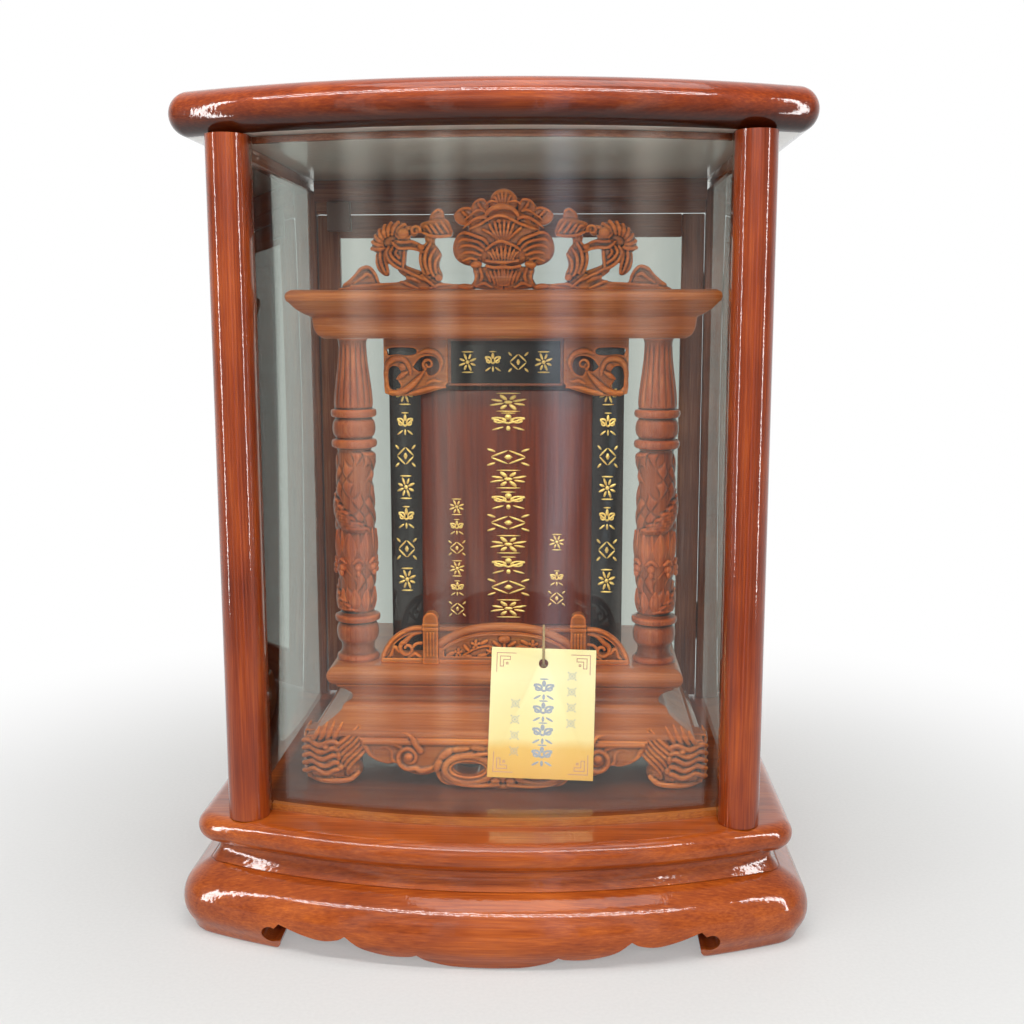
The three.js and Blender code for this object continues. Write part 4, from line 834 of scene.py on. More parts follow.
def make_case_frame():
    pair("post_front", [standing(post_outline(), CASE_FLOOR, CASE_HEAD)], lacquer_z, "lacquer_red_brown",
         sharp=50)
    pair("post_rear", [block(207, 227, 194, 215, CASE_FLOOR, CASE_HEAD)], shaded_z, "lacquer_dark",
         round_edges=1.5)
    pair("head_rail", [block(207, 221, -138.7, 193.7, CASE_HEAD - 12, CASE_HEAD)], shaded_y, "lacquer_dark",
         round_edges=1.2)
    face = [(215, 631.7), (215, CASE_HEAD), (184, CASE_HEAD), (184, 648.7)]
    face += [(189 - 5 * math.cos(a), 648.7 - 5 * math.sin(a)) for a in np.linspace(0, math.pi / 2, 9)][1:]
    face += [(194, 643.7), (194, 631.7)]
    rail = loft([[(x, y, z) for y, z in face] for x in (-206.7, 206.7)])
    single("head_rail_rear", [rail], shaded_x, "lacquer_dark", round_edges=0.8)
    band = bow_band(595.7, 589.7, 190.7)
    piece("head_bead_finish", [standing(band, CASE_HEAD - 5, CASE_HEAD)], shaded_x, ("head_bead_front",),
          "lacquer_dark")
    piece("sill_bead_finish", [standing(band, CASE_FLOOR, CASE_FLOOR + 5)], raw_bead, ("sill_bead_front",),
          "bare_wood_edge")
    pair("glass_block", [block(205.7, 211.7, -138.7, -132.7, 132, 145)], pale_wood, "pale_wood",
         round_edges=0.6)


def make_glass():
    piece("glass_front_pane", [standing(bow_band(600, 596, 195.7, 96), CASE_FLOOR - GROOVE,
                                        CASE_HEAD + GROOVE)], front_glass, ("glass_front",), "glass_clear")
    pair("glass", [block(212, 216, -143.7, 198.7, CASE_FLOOR - GROOVE, 658.4)], shade_tinted_glass, "glass_clear",
         round_edges=0.5)
    piece("door_glass_pane", [block(-187, 187, 204.5, 207.5, 140.3, 611.4)], shade_tinted_glass, ("door_glass",),
          "glass_clear",
          "rear_door", round_edges=0.4)


DOOR_FRONT, DOOR_BACK = 197, 215
DOOR_FOOT, DOOR_HEAD = 105.3, 630.8
DOOR_RAIL_HALF = 182.2


def make_door():
    door = {"body": "rear_door", "round_edges": 1.5}
    pair("door_stile", [block(182.5, 206.1, DOOR_FRONT, DOOR_BACK, DOOR_FOOT, DOOR_HEAD)], shaded_z,
         "lacquer_dark", **door)
    for stem, foot, head in (("top", 606.7, DOOR_HEAD), ("bottom", DOOR_FOOT, 145.3)):
        rail = block(-DOOR_RAIL_HALF, DOOR_RAIL_HALF, DOOR_FRONT, DOOR_BACK, foot, head)
        single(f"door_rail_{stem}", [rail], shaded_x, "lacquer_dark", **door)
    profile = [(0, 0), (3.9, 0), (3.6, 3.5), (4.4, 6.2), (6.4, 7.8), (7, 9.6), (6.6, 12), (4.6, 13.7),
               (0, 14)]
    knob = turned(spline(profile, 4).tolist(), (-194, 215.3, 347.5), axis=1)
    single("door_knob", [knob], brass, "hinge_brass", "rear_door")


HINGE_X, HINGE_Y = 206.25, 218.3
LEAF_LONG = 40


def knuckle(start, end):
    """One barrel of a hinge, with broken rims."""
    return turned([(2.4, start), (3, start + 0.6), (3, end - 0.6), (2.4, end)], (HINGE_X, HINGE_Y, 0), 24)


def leaf_flat(left, right, foot, end):
    """A flat of a hinge leaf, between two distances to the right of the pin."""
    return block(HINGE_X + left, HINGE_X + right, 215.3, 216.8, foot, end)


def make_hinges():
    """Butt hinges: the middle knuckle is on the case leaf, the others on the door leaf; three screws each."""
    for stem, foot in (("lower", 165.3), ("upper", 529.7)):
        low, high, end = foot + LEAF_LONG / 3, foot + 2 * LEAF_LONG / 3, foot + LEAF_LONG
        case_leaf = [knuckle(low + 0.3, high - 0.3), leaf_flat(2.6, 14, foot, end),
                     leaf_flat(0.4, 2.6, low + 0.3, high - 0.3)]
        door_leaf = [knuckle(foot, low), knuckle(high, end), leaf_flat(-14, -2.6, foot, end),
                     leaf_flat(-2.6, -0.4, foot, low), leaf_flat(-2.6, -0.4, high, end)]
        single(f"hinge_{stem}_case_leaf", case_leaf, brass, "hinge_brass")
        single(f"hinge_{stem}_door_leaf", door_leaf, brass, "hinge_brass", "rear_door")
        pin = [(0.6, foot - 1.3), (1.3, foot - 0.6), (1.3, foot + 40.6), (0.6, foot + 41.3)]
        single(f"hinge_{stem}_pin", [turned(pin, (HINGE_X, HINGE_Y, 0), 20)], steel, "pin_steel")
        screw = [turned([(0, 0), (2.1, 0), (1.9, 0.45), (1.2, 0.7), (0, 0.8)], (0, 0, 0), 16, axis=1),
                 block(-1.7, 1.7, 0.5, 0.86, -0.2, 0.2)]
        for body, side in (("case", 8.6), ("rear_door", -8.6)):
            places = [(HINGE_X + side, 216.8, foot + up) for up in (7, 20, 33)]
            scattered(f"hinge_{stem}_screws_{body}", screw, places, steel, slot="pin_steel", body=body)


def make_catch():
    """A magnet on the rear head rail, and on the door the plate that it holds."""
    left, right, foot = -193, -169, 613.4
    magnet = block(left, right, 181.7, 193.7, foot, foot + 30)
    single("catch_magnet", [magnet], catch_plastic, "catch_plastic", round_edges=1.0)
    strike = block(left, right, 194, 196.7, foot, foot + 14)
    single("catch_strike", [strike], steel, "pin_steel", "rear_door", round_edges=0.5)


make_case_base()
make_case_top()
make_case_frame()
make_glass()
make_door()
make_hinges()
make_catch()

# Stand of the tablet shrine. From here on, places are in the shrine's own frame

# Plans: half width, front, rear
STAND_TOP = (161.0, -82.0, 86.0)
ROOF = (187.0, -92.0, 38.0)
PLINTH = [
    (0, 0.5), (0.08, 0.5), (0.12, 0.42), (0.2, 0.1), (0.32, -0.3), (0.42, -0.55), (0.5, -0.62), (0.55, -0.72),
    (0.6, -0.95), (0.64, -1), (0.7, -1), (0.76, -0.92), (0.86, -0.7), (0.95, -0.42), (1, -0.35),
]
ROOF_SHARES = [
    (0, -1), (0.02, -0.95), (0.07, -0.84), (0.16, -0.76), (0.28, -0.71), (0.42, -0.69), (0.46, -0.64),
    (0.52, -0.46), (0.62, -0.26), (0.74, -0.1), (0.78, -0.03), (0.86, 0), (0.94, -0.03), (1, -0.16),
]
SIDE_SKIRT = [(0, 0.5), (0.15, 0.85), (0.35, 1), (0.6, 0.85), (0.8, 0.35), (1, -0.6)]


def square_outline(plan, grow=0.0, corner=1.2):
    """Mitred rectangle with just broken front corners, whose rear stays in place."""
    half, front, rear = plan
    side, ahead = half + grow, front - grow
    line = arc(-side + corner, ahead + corner, corner, math.pi, 1.5 * math.pi, 3)
    line += arc(side - corner, ahead + corner, corner, 1.5 * math.pi, TAU, 3)
    return line + [(side, rear), (-side, rear)]


def make_stand():
    single("stand_top", [nosed(lambda g: square_outline(STAND_TOP, g), 89.6, 18)], shrine_x,
           "lacquer_red_brown", shift=SHRINE)
    piece("stand_plinth_finish", [moulded(lambda g: square_outline(STAND_TOP, g), PLINTH, 46.3, 43, 20)],
          shrine_x,
          ("stand_plinth",), "lacquer_red_brown", shift=SHRINE)
    face = [(179 + share * 7, height * 46) for height, share in spline(SIDE_SKIRT, 4)] + [(163, 46), (163, 0)]
    side = loft([[(x, y, z) for x, z in face] for y in (92, -47.7)])
    scoop = [(-60, -6), (48, -6), (48, 0)] + [(48 - 34.9 * t * t, 23 * (2 * t - t * t))
                                              for t in np.linspace(0.08, 1, 12)] + [(-60, 23)]
    pair("stand_side", [side], shrine_y, "lacquer_red_brown", shift=SHRINE,
         cutters=(swapped(plate([scoop], 150, 200, 0.0)),), round_edges=0.9)


APRON_HALF, APRON_HEAD = 129.4, 46
# Lower edge of the front apron, from the middle outwards
LIP = [
    (0, 0), (23.3, 0.9), (40, 1.6), (52, 3.2), (57.5, 9), (59, 15.4), (66, 13.2), (72, 11.6), (80.4, 12.4),
    (87, 15),
    (92, 20), (97, 22.6), (104, 21.6), (112, 23.5), (116.7, 26), (121, 30), (125.4, 38), (129.4, 40),
]


def make_stand_apron():
    """Carved board between the feet: a lotus drop with two pierced eyes, then scrolls and shell lips."""
    y = -91.5
    right = [(x, z) for x, z in spline(LIP, 4)]
    left = [(-x, z) for x, z in reversed(right[1:])]
    outline = [(APRON_HALF, APRON_HEAD), (-APRON_HALF, APRON_HEAD)] + left + right
    eye = [(31 + 14.5 * math.cos(a), 18.5 + 5.5 * math.sin(a) + 1.5 * math.cos(2 * a))
           for a in np.linspace(0, TAU, 28, endpoint=False)]
    shapes = [plate([outline, eye, [(-x, z) for x, z in reversed(eye)]], -95.5, -71, 1.6)]
    shapes.append(block(-APRON_HALF, APRON_HALF, -96.0, -80, 43.5, APRON_HEAD))
    shapes.append(limb([(x, -94.6, 42.6, 2.9) for x in (-126.0, -42.0, 42.0, 126.0)], 1.0, steps=4, sides=14))
    lip = [(x, y - 3 + 0.015 * x, z + 2.2, 2.6) for x, z in LIP[:-2]]
    strands = [limb(lip, 0.9, steps=4)]
    # Swollen lotus round the eye: a fat ring, an inner thread and petals over it
    ring = [(31 + 21 * math.cos(a), -95.5, 18 + 12.5 * math.sin(a), 3.6) for a in np.linspace(0, TAU, 22)]
    thread = [(31 + 16.8 * math.cos(a), -97.0, 18.5 + 8 * math.sin(a), 1.3) for a in np.linspace(0, TAU, 22)]
    strands += [limb(ring, 1.0, steps=3), limb(thread, 0.9, steps=3)]
    for x, z, turn, long in ((10, 36, 62, 10), (22, 38.5, 78, 12), (38, 37, 100, 12), (51, 32, 128, 11),
                             (58, 22, 158, 9)):
        strands.append(ball((x, -93.5, z), (long, 4.6, 4.4), turn - 90))
    strands += [ball((0, -96, 21), (5.5, 4.5, 15)), ball((0, -98.0, 35), (8, 3, 5)),
                ball((6.5, -96.0, 8), (5, 3.5, 3), 12)]
    strands.append(limb([(2, -98, 30, 1.5), (12, -98, 33, 1.6), (24, -97.5, 32, 1.6), (36, -97, 29, 1.3),
                         (45, -96, 25, 0.9)]))
    strands.append(limb([(4, -98, 4.5, 1.6), (22, -98.5, 3.4, 1.8), (40, -97.5, 4.4, 1.8), (52, -96, 9, 1.3),
                         (56, -95, 16, 0.9)]))
    # Scroll with a leaf that hooks up over the edge, a pearl in its eye, and a smaller scroll beside the foot
    strands.append(limb(curl(85, 28, -95.0, 11.5, 3.4, -120, 1.35, 2.6, 1.2,
                             [(58, -94, 24, 1.2), (66, -95, 18, 2.0), (74, -95.5, 16, 2.6)])))
    strands.append(ball((85, -95.0, 28.5), (4.2, 3.4, 4.2)))
    strands.append(limb([(74, -95, 34, 3.0), (79, -96.5, 42, 2.8), (82, -97, 47.5, 2.2),
                         (86, -97.2, 50.8, 1.5), (91, -97, 51.6, 0.7)], 0.9))
    strands.append(limb([(92, -95, 38, 2.2), (99, -95.5, 41, 2.0), (106, -95.5, 40.5, 1.2)], 0.8))
    strands.append(limb(curl(108, 31, -94.0, 8.5, 2.4, 200, -1.2, 2.2, 1.0,
                             [(90, -94, 22.5, 1.2), (98, -94.5, 24.5, 2.0)])))
    strands.append(limb([(114, -94, 26, 1.6), (120, -94, 31, 2.6), (123.5, -94, 37, 3.0),
                         (127, -94, 42, 2.2)], 0.9))
    for k in range(4):
        strands.append(limb([(61 + 3.5 * k, -93.5, 27 + 2 * k, 0.9), (66 + 3.5 * k, -94.3, 34 + k, 1.2),
                             (69 + 3 * k, -93.8, 40, 0.7)], 0.8))
    piece("stand_apron_carving", shapes + both(strands), carved_lacquer, ("stand_apron_front",),
          "lacquer_red_brown", voxel=0.95, **CARVED)


def make_stand_feet():
    """Front feet carved as maned heads: a fan of flames, upright horns, and a wavy, furrowed outer face."""
    shapes = [ball((158, -74, 22), (25, 18.5, 21.5)), block(140, 180, -84, -50, 4, 44),
              ball((139, -76, 11.5), (10, 12, 9.5)),
              ball((160, -75, 9), (20, 15, 9)), block(134, 184, -70, -49, 2, 45)]
    for k in range(6):
        # Flames of the mane, side by side
        x, z = 136.5 + 2.8 * k, 21 + 3.2 * k
        tip = (118.6 + 2.7 * k, -88.6, 42.6 + 2.5 * k, 0.8)
        shapes.append(limb([(x + 5, -90.0, z - 7, 1.5), (x, -91.6, z, 2.0),
                            ((x + tip[0]) / 2 - 1, -91.2, (z + tip[2]) / 2 - 0.6, 1.8), tip], 0.9))
    sheet = [(119, 40.5), (117.6, 43), (124, 50), (132, 55.4), (142, 48), (150, 38), (142, 24), (134, 20),
             (128, 30)]
    shapes.append(pad(sheet, -78, -89.6))
    for k, (x, height) in enumerate(((150, 59), (156, 60.5), (162, 59), (168, 55))):
        shapes.append(limb([(x + 6, -88, 40, 2.1), (x + 1, -91.5, 48, 2.2), (x - 5 + k, -91.0, height, 1.1)],
                           0.9))
    for k, z in enumerate((39, 32.5, 26, 19.5, 12.5)):
        # Furrows of the face: waves with two crests
        wave = [(150 + t * 33, -91.5 + 9.5 * max(t - 0.45, 0) ** 1.6 * 2.2,
                 z + 1.9 * math.sin(t * TAU * 1.5 + 0.4 * k), 2.5 - 0.4 * abs(t - 0.5))
                for t in np.linspace(0, 1, 9)]
        shapes.append(limb(wave, 0.95, steps=3))
    shapes += [ball((161, -91.5, 36), (3.4, 3, 2.6), -20), ball((149, -90.5, 28), (3.2, 3.4, 5)),
               ball((148, -89.5, 17), (3.4, 3.2, 4.5))]
    shapes.append(limb(curl(135.5, 25, -88.5, 5.4, 1.8, 20, 1.3, 1.7, 0.9)))
    shapes.append(limb([(132, -86, 10, 2.2), (139, -88.5, 4.5, 2.6), (150, -90, 3, 2.6), (165, -88, 3, 2.6),
                        (177, -80, 4, 2.4)], 0.9))
    # The outer side carries the mane round to the rear
    for k in range(5):
        z = 9 + 7.5 * k
        shapes.append(limb([(180, -80, z, 2.2), (183, -70, z + 1.5, 2.3), (183.5, -59, z + 4, 1.9),
                            (182, -51, z + 8, 1.0)], 1.0))
    pair("stand_foot", shapes, carved_lacquer, "lacquer_red_brown", voxel=0.85, **CARVED)


make_stand()
make_stand_apron()
make_stand_feet()

# Railing

RAIL_Y = -63.0
RAILING_HALF = 59.7


def cap_height(x):
    return DECK + 17 + 17 * (1 - abs(x / RAILING_HALF) ** 2.6)


def make_railing():
    cap = [(x, RAIL_Y, cap_height(x), 4.0) for x in np.linspace(-RAILING_HALF, RAILING_HALF, 25)]
    lower = [(x, RAIL_Y - 3.6, cap_height(x) - 6.4, 1.1) for x in np.linspace(-58, 58, 25)]
    single("railing_cap", [limb(cap, 1.0, steps=3, sides=18), limb(lower, 1.0, steps=3)], shrine_x,
           "lacquer_red_brown", shift=SHRINE)
    top = [(x, cap_height(x) - 4.2) for x in np.linspace(RAILING_HALF, -RAILING_HALF, 33)]
    shapes = [plate([[(-RAILING_HALF, DECK), (RAILING_HALF, DECK)] + top], -64.5, -60.2, 0.5),
              block(-RAILING_HALF, RAILING_HALF, -67.4, -60.2, DECK, DECK + 3.4),
              block(-RAILING_HALF, RAILING_HALF, -66.6, -62, DECK + 4.2, DECK + 6.4)]
    for x in (-57.3, 57.3):
        shapes.append(block(x - 2.4, x + 2.4, -66.6, -60.2, DECK, cap_height(57.3) - 4.6))
    # A spray of flowers and leaves in the sunk field
    spray = [ball((0, -65.2, 131), (5.2, 2.6, 4.2)), ball((0, -66.4, 131.6), (2.2, 1.6, 1.8)),
             limb([(0, -65.4, 127, 1.2), (0, -65.4, 120, 1.3), (0, -65.2, 115, 1.8)])]
    for x, z, size in ((26, 125.5, 3.6), (42, 118, 3.0), (13, 119.5, 2.8)):
        spray.append(ball((x, -65.6, z), (size * 0.5, 1.9, size * 0.5)))
        for k in range(5):
            a = k * TAU / 5 + 0.3
            spray.append(ball((x + size * 0.75 * math.cos(a), -65.0, z + size * 0.75 * math.sin(a)),
                              (size * 0.55, 1.6, size * 0.38), -math.degrees(a)))
    spray.append(limb([(2, -65, 116, 0.9), (14, -65.2, 124, 1.1), (28, -65.2, 121, 1.0),
                       (41, -65.2, 113.5, 0.8), (52, -65, 116, 0.6)]))
    for x, z, turn in ((7, 126, -35), (19, 127.5, 30), (34, 121.5, -50), (49, 116.5, 25), (20, 115.5, 10),
                       (33, 114.5, -15)):
        spray.append(ball((x, -65.0, z), (4.6, 1.5, 1.7), turn))
    piece("railing_panel_carving", shapes + both(spray), carved_lacquer, ("railing_panel",),
          "lacquer_red_brown", voxel=0.6, **CARVED)


def make_railing_wings():
    """A newel with a banded round head, and the pierced quarter wing with its leaf."""
    head = [(60, DECK), (74, DECK), (74, 148.9)] + [(67 + 7 * math.cos(a), 148.9 + 7 * math.sin(a))
                                                    for a in np.linspace(0.1, math.pi - 0.1, 15)] + [(60,
                                                                                                      148.9)]
    shapes = [plate([head], -69.5, -56.5, 1.2)]
    for z in (139.5, 143.5):
        shapes.append(block(59.6, 74.4, -70, -56, z, z + 1.8))
    shapes.append(block(59.6, 74.4, -70, -56, DECK, DECK + 5))
    for x in (64.2, 67, 69.8):
        shapes.append(limb([(x, -69.6, 116, 0.8), (x, -69.6, 126, 0.8), (x, -69.6, 137, 0.8)], 0.8))
    rim = [(74, 140.2), (84, 139.6), (94, 135.5), (103, 128), (109.5, 117.5), (112, DECK + 1)]
    shapes.append(limb([(x, RAIL_Y, z, 2.4) for x, z in rim], 1.3))
    shapes.append(limb([(x - 1.2, RAIL_Y, z - 3.4, 1.0) for x, z in rim[:-1]], 1.5))
    shapes.append(block(73, 112, -66.5, -59.5, DECK, DECK + 4.4))
    shapes.append(limb(curl(89, 120.5, RAIL_Y, 7.5, 2, 80, -1.2, 2.2, 1.2,
                            [(76, RAIL_Y, 136, 1.4), (84, RAIL_Y, 134, 2.0)]), 1.2))
    shapes.append(limb([(76, RAIL_Y, 112, 1.6), (82, RAIL_Y, 116, 2.0), (88, RAIL_Y, 112.5, 1.8)], 1.2))
    shapes.append(limb([(96, RAIL_Y, 118, 2.0), (101, RAIL_Y, 122, 1.8), (104, RAIL_Y, 115, 1.8),
                        (108, RAIL_Y, 111, 1.4)], 1.2))
    shapes.append(limb([(76, RAIL_Y, 126, 1.6), (81, RAIL_Y, 125, 1.5), (85, RAIL_Y, 121, 1.4)], 1.2))
    pair("railing_wing", shapes, carved_lacquer, "lacquer_red_brown", voxel=0.6, **CARVED)


make_railing()
make_railing_wings()

# Columns: turned rings and balls above and below a body carved with a coiling dragon over a lotus

COLUMN = (136.5, -48.0)
# Turned profiles from the foot up: radius, height
FOOT_TURNS = [(0, 0), (17.5, 0), (19.2, 0.8), (19.6, 3), (18.6, 5), (16.2, 7), (15.0, 10.5), (15.2, 14.5),
              (16.4, 17), (18.6, 20.5),
              (19.4, 26), (18.8, 31), (16.8, 35), (17.4, 36), (20.2, 37.2), (20.8, 39.6), (20.2, 42),
              (17.2, 43.4), (15.4, 45)]
HEAD_TURNS = [(15.2, 194), (16.4, 196), (19.6, 197.2), (20.6, 200.4), (19.6, 203.6), (16.8, 204.8),
              (16.6, 206), (18.6, 209), (19.4, 214),
              (18.6, 219.5), (16.8, 222.6), (17.2, 223.8), (19.8, 224.8), (20.6, 227.8), (19.8, 230.8),
              (17.0, 232), (17.2, 235),
              (16.6, 245), (15.0, 258), (13.2, 272), (12.2, 285), (12.6, 291), (13.6, 294)]


def column_shape():
    foot = spline(FOOT_TURNS, 3)
    head = spline(HEAD_TURNS, 3)
    body_z = np.arange(46, 193.5, 0.95)
    body = np.stack([15.0 + 1.3 * np.sin((body_z - 46) / 148 * math.pi), body_z], axis=1)
    profile = np.vstack([foot, body, head])
    turn = np.linspace(0, TAU, 150, endpoint=False)
    radius, angle = np.meshgrid(profile[:, 0], turn, indexing="ij")
    z = np.meshgrid(profile[:, 1], turn, indexing="ij")[0]
    # Reeds on the upper shaft
    shaft = np.clip((z - 233) / 4, 0, 1) * np.clip((290 - z) / 4, 0, 1)
    radius = radius + shaft * 0.75 * (np.abs(np.sin(angle * 8)) - 0.6)
    carved = np.clip((z - 46) / 3, 0, 1) * np.clip((194 - z) / 3, 0, 1)
    # The dragon's body climbs in one coil and a half; its scales lie in rows of about 4 mm
    lead = angle - TAU * (z - 60) / 86
    across = (np.mod(lead + math.pi, TAU) - math.pi) * 15.5 * 0.74
    along = z * 1.35 + across * 0.25
    dragon = np.sqrt(np.clip(1 - (across / 8.6) ** 2, 0, 1))
    scales = 0.5 * np.abs(np.sin(along * math.pi / 4.4 + np.where(np.mod(np.floor(across / 3.2), 2) > 0,
                                                                  math.pi / 2, 0)))
    belly = np.clip((across - 3.5) / 1.5, 0, 1)
    spine = np.exp(-((across + 8.4) / 1.5) ** 2) * (1.2 + 1.1 * np.sin(along * math.pi / 3.4))
    relief = dragon * (3.6 + scales * (1 - belly) + 0.35 * belly * np.sin(along * math.pi)) + np.clip(spine,
                                                                                                      0, 3)
    # Cloud wisps fill the ground between the coils
    wisp = np.sin(angle * 5 + 2.2 * np.sin(z / 9.0)) * np.sin(z / 4.6 + 1.7 * np.sin(angle * 3))
    relief = np.maximum(relief, 1.9 * np.clip(wisp, 0, 1) ** 0.6)
    lotus = np.clip((z - 84) / 6, 0, 1) * np.clip((124 - z) / 5, 0, 1)
    relief = relief * (1 - 0.85 * lotus)
    swell = 1.6 * np.exp(-((z - 108) / 20) ** 2)
    radius = radius + carved * (relief + swell)
    x, y = radius * np.cos(angle), radius * np.sin(angle)
    return loft(np.stack([x, y, z], axis=2).tolist())


def petal(width, height, foot, reach, thick=1.5):
    """An upright lotus petal in front of the Z axis, swollen in the middle, its tip turned outwards."""
    levels = []
    for v in np.linspace(0, 1, 12):
        half = width / 2 * (math.sin(math.pi * min(v * 0.86 + 0.16, 1)) ** 0.55) + 0.15
        bulge = reach + 2.6 * math.sin(math.pi * v) + 1.6 * v ** 4
        ring = []
        for u in list(np.linspace(-1, 1, 9)) + list(np.linspace(1, -1, 9)):
            outer = len(ring) < 9
            lift = bulge - 1.9 * u * u + 0.7 * math.exp(-(u / 0.14) ** 2) - (0 if outer else thick)
            a = u * half / 17.0
            ring.append((lift * math.sin(a), -lift * math.cos(a), foot + v * height))
        levels.append(ring)
    return loft(levels)


def make_columns():
    points, faces = column_shape()
    shape = (np.add(points, (COLUMN[0], COLUMN[1], DECK)).tolist(), faces)
    pair("column", [shape], column_lacquer, "lacquer_red_brown", shift=SHRINE, sharp=55)
    for side in (1, -1):
        place = Matrix.Translation((Vector(SHRINE) + Vector((side * COLUMN[0], COLUMN[1], DECK))) * MM)
        stem = "right" if side > 0 else "left"
        knob = [ball((0, -17.5, 88), (3.6, 3.6, 3.8)), ball((0, -18.8, 83), (2.2, 2.2, 3.2))]
        scroll = [limb([(-4.6, -17.6, 92, 1.5), (0, -18.6, 95.5, 1.7), (4.6, -17.6, 92, 1.5)])]
        for name, shapes, count, first in (
            ("petals", [petal(14.6, 31, 91, 16.6)], 7, 0.2),
            ("inner_petals", [petal(11, 27, 97, 15.6)], 7, 0.2 + math.pi / 7),
            ("knobs", knob + scroll, 7, 0.2 + math.pi / 7),
            ("low_petals", [petal(12.6, 22, 46, 14.6)], 8, 0.0),
        ):
            mesh = grown(raw_object(name, shapes), ring_of_copies,
                         {"Count": count, "First Angle": first * side, "Finish": column_lacquer})
            mesh.transform(place)
            settle(f"column_{name}_{stem}", mesh, column_lacquer, slot="lacquer_red_brown", sharp=50)


make_columns()

# Tablet between the columns, its plaque and brackets

TABLET_TOP = 401.9
PLAQUE_FACE, COUPLET_FACE, INSCRIPTION_FACE = -31.3, -22.0, -15.0
GILDING = 0.2                   # how far the gilding's middle stands before its board


def make_tablet():
    boards = [block(-108, 108, -1.7, 10.3, DECK, TABLET_TOP), block(-78.7, 78.7, -21.7, -0.5, DECK, 131.9)]
    single("tablet_back", boards, shaded_z, "lacquer_dark", shift=SHRINE, round_edges=1.0, weld=0.0)
    pair("couplet_board", [block(79, 108, COUPLET_FACE, -2, DECK, TABLET_TOP)], black_board, "lacquer_black",
         shift=SHRINE, round_edges=2.0, cutters=(block(78, 81.9, -15.4, -8.6, 131.8, 388.6),))
    single("inscription_board", [block(-81.5, 81.5, INSCRIPTION_FACE, -9, 132.2, 354.2)], red_board,
           "board_red_brown", "inscription_board", shift=SHRINE, round_edges=1.2)
    single("name_board", [block(-60, 60, -6, -2, 132.2, 312.2)], pale_wood, "pale_wood",
           shift=SHRINE, round_edges=0.8)
    single("lintel_plaque", [block(-52, 52, PLAQUE_FACE, -22.3, 358.9, TABLET_TOP)], black_board,
           "lacquer_black", shift=SHRINE, round_edges=1.5)
    # A narrow frame line round the plaque and along the sill
    frame_lines = [block(-52, 52, -32.2, -30.8, 358.9, 361.3),
                   block(-52, 52, -32.2, -30.8, 399.5, TABLET_TOP),
                   block(-52, -49.6, -32.2, -30.8, 361.3, 399.5), block(49.6, 52, -32.2, -30.8, 361.3, 399.5)]
    piece("lintel_plaque_rim", frame_lines, shaded_x, slot="lacquer_dark", shift=SHRINE, round_edges=0.4,
          weld=0.0)
    piece("tablet_sill_nosing", [limb([(x, -22, 128.6, 2.2) for x in (-78.5, 0, 78.5)], sides=16)], shrine_x,
          slot="lacquer_red_brown", shift=SHRINE)


def leaf(x, z, turn, long, wide, thick=1.1):
    return ball((x, 0, z), (long, thick, wide), -turn, sides=12, rings=7)


def floret():
    """Eight petals round a pearl, the four long ones on the slant, with a bar above and below."""
    shapes = [leaf(0, 0, 0, 1.9, 1.9)]
    for k in range(8):
        a, long = TAU * (k + 0.5) / 8, (3.4, 2.7)[k % 2]
        shapes.append(leaf(5.4 * math.cos(a), 5.4 * math.sin(a), math.degrees(a), long, 1.15))
    return shapes + [leaf(0, 9.4, 0, 5.6, 0.75), leaf(0, -9.4, 0, 5.6, 0.75)]


def cloud():
    """A cloud head: three lobes over a curling foot."""
    shapes = [limb(curl(side * 4.2, 1.6, 0, 3.4, 1.2, 90 - side * 50, side * 1.1, 0.95, 0.6,
                        [(0, 0, -1.2, 0.9)]), 0.9, 3, 8) for side in (1, -1)]
    shapes += [leaf(0, 5.6, 90, 2.9, 1.5), leaf(0, -6.4, 90, 2.6, 1.0), leaf(-4.6, -6.6, 35, 3.2, 0.9),
               leaf(4.6, -6.6, -35, 3.2, 0.9)]
    return shapes + [leaf(0, 9.6, 0, 3.4, 0.7)]


def lozenge():
    """A lozenge of four bars round a small one, with a leaf at each corner."""
    shapes = []
    for sx, sz in ((1, 1), (1, -1), (-1, 1), (-1, -1)):
        shapes.append(leaf(sx * 3.9, sz * 3.7, -sx * sz * 43, 5.1, 0.85))
        shapes.append(leaf(sx * 7.6, sz * 7.4, sx * sz * 45, 2.5, 1.0))
    return shapes + [leaf(0, 0, 90, 2.7, 1.5), leaf(0, 0, 0, 2.0, 0.9)]


def widened(shapes, by_x, by_z):
    return [([(x * by_x, y, z * by_z) for x, y, z in points], faces) for points, faces in shapes]


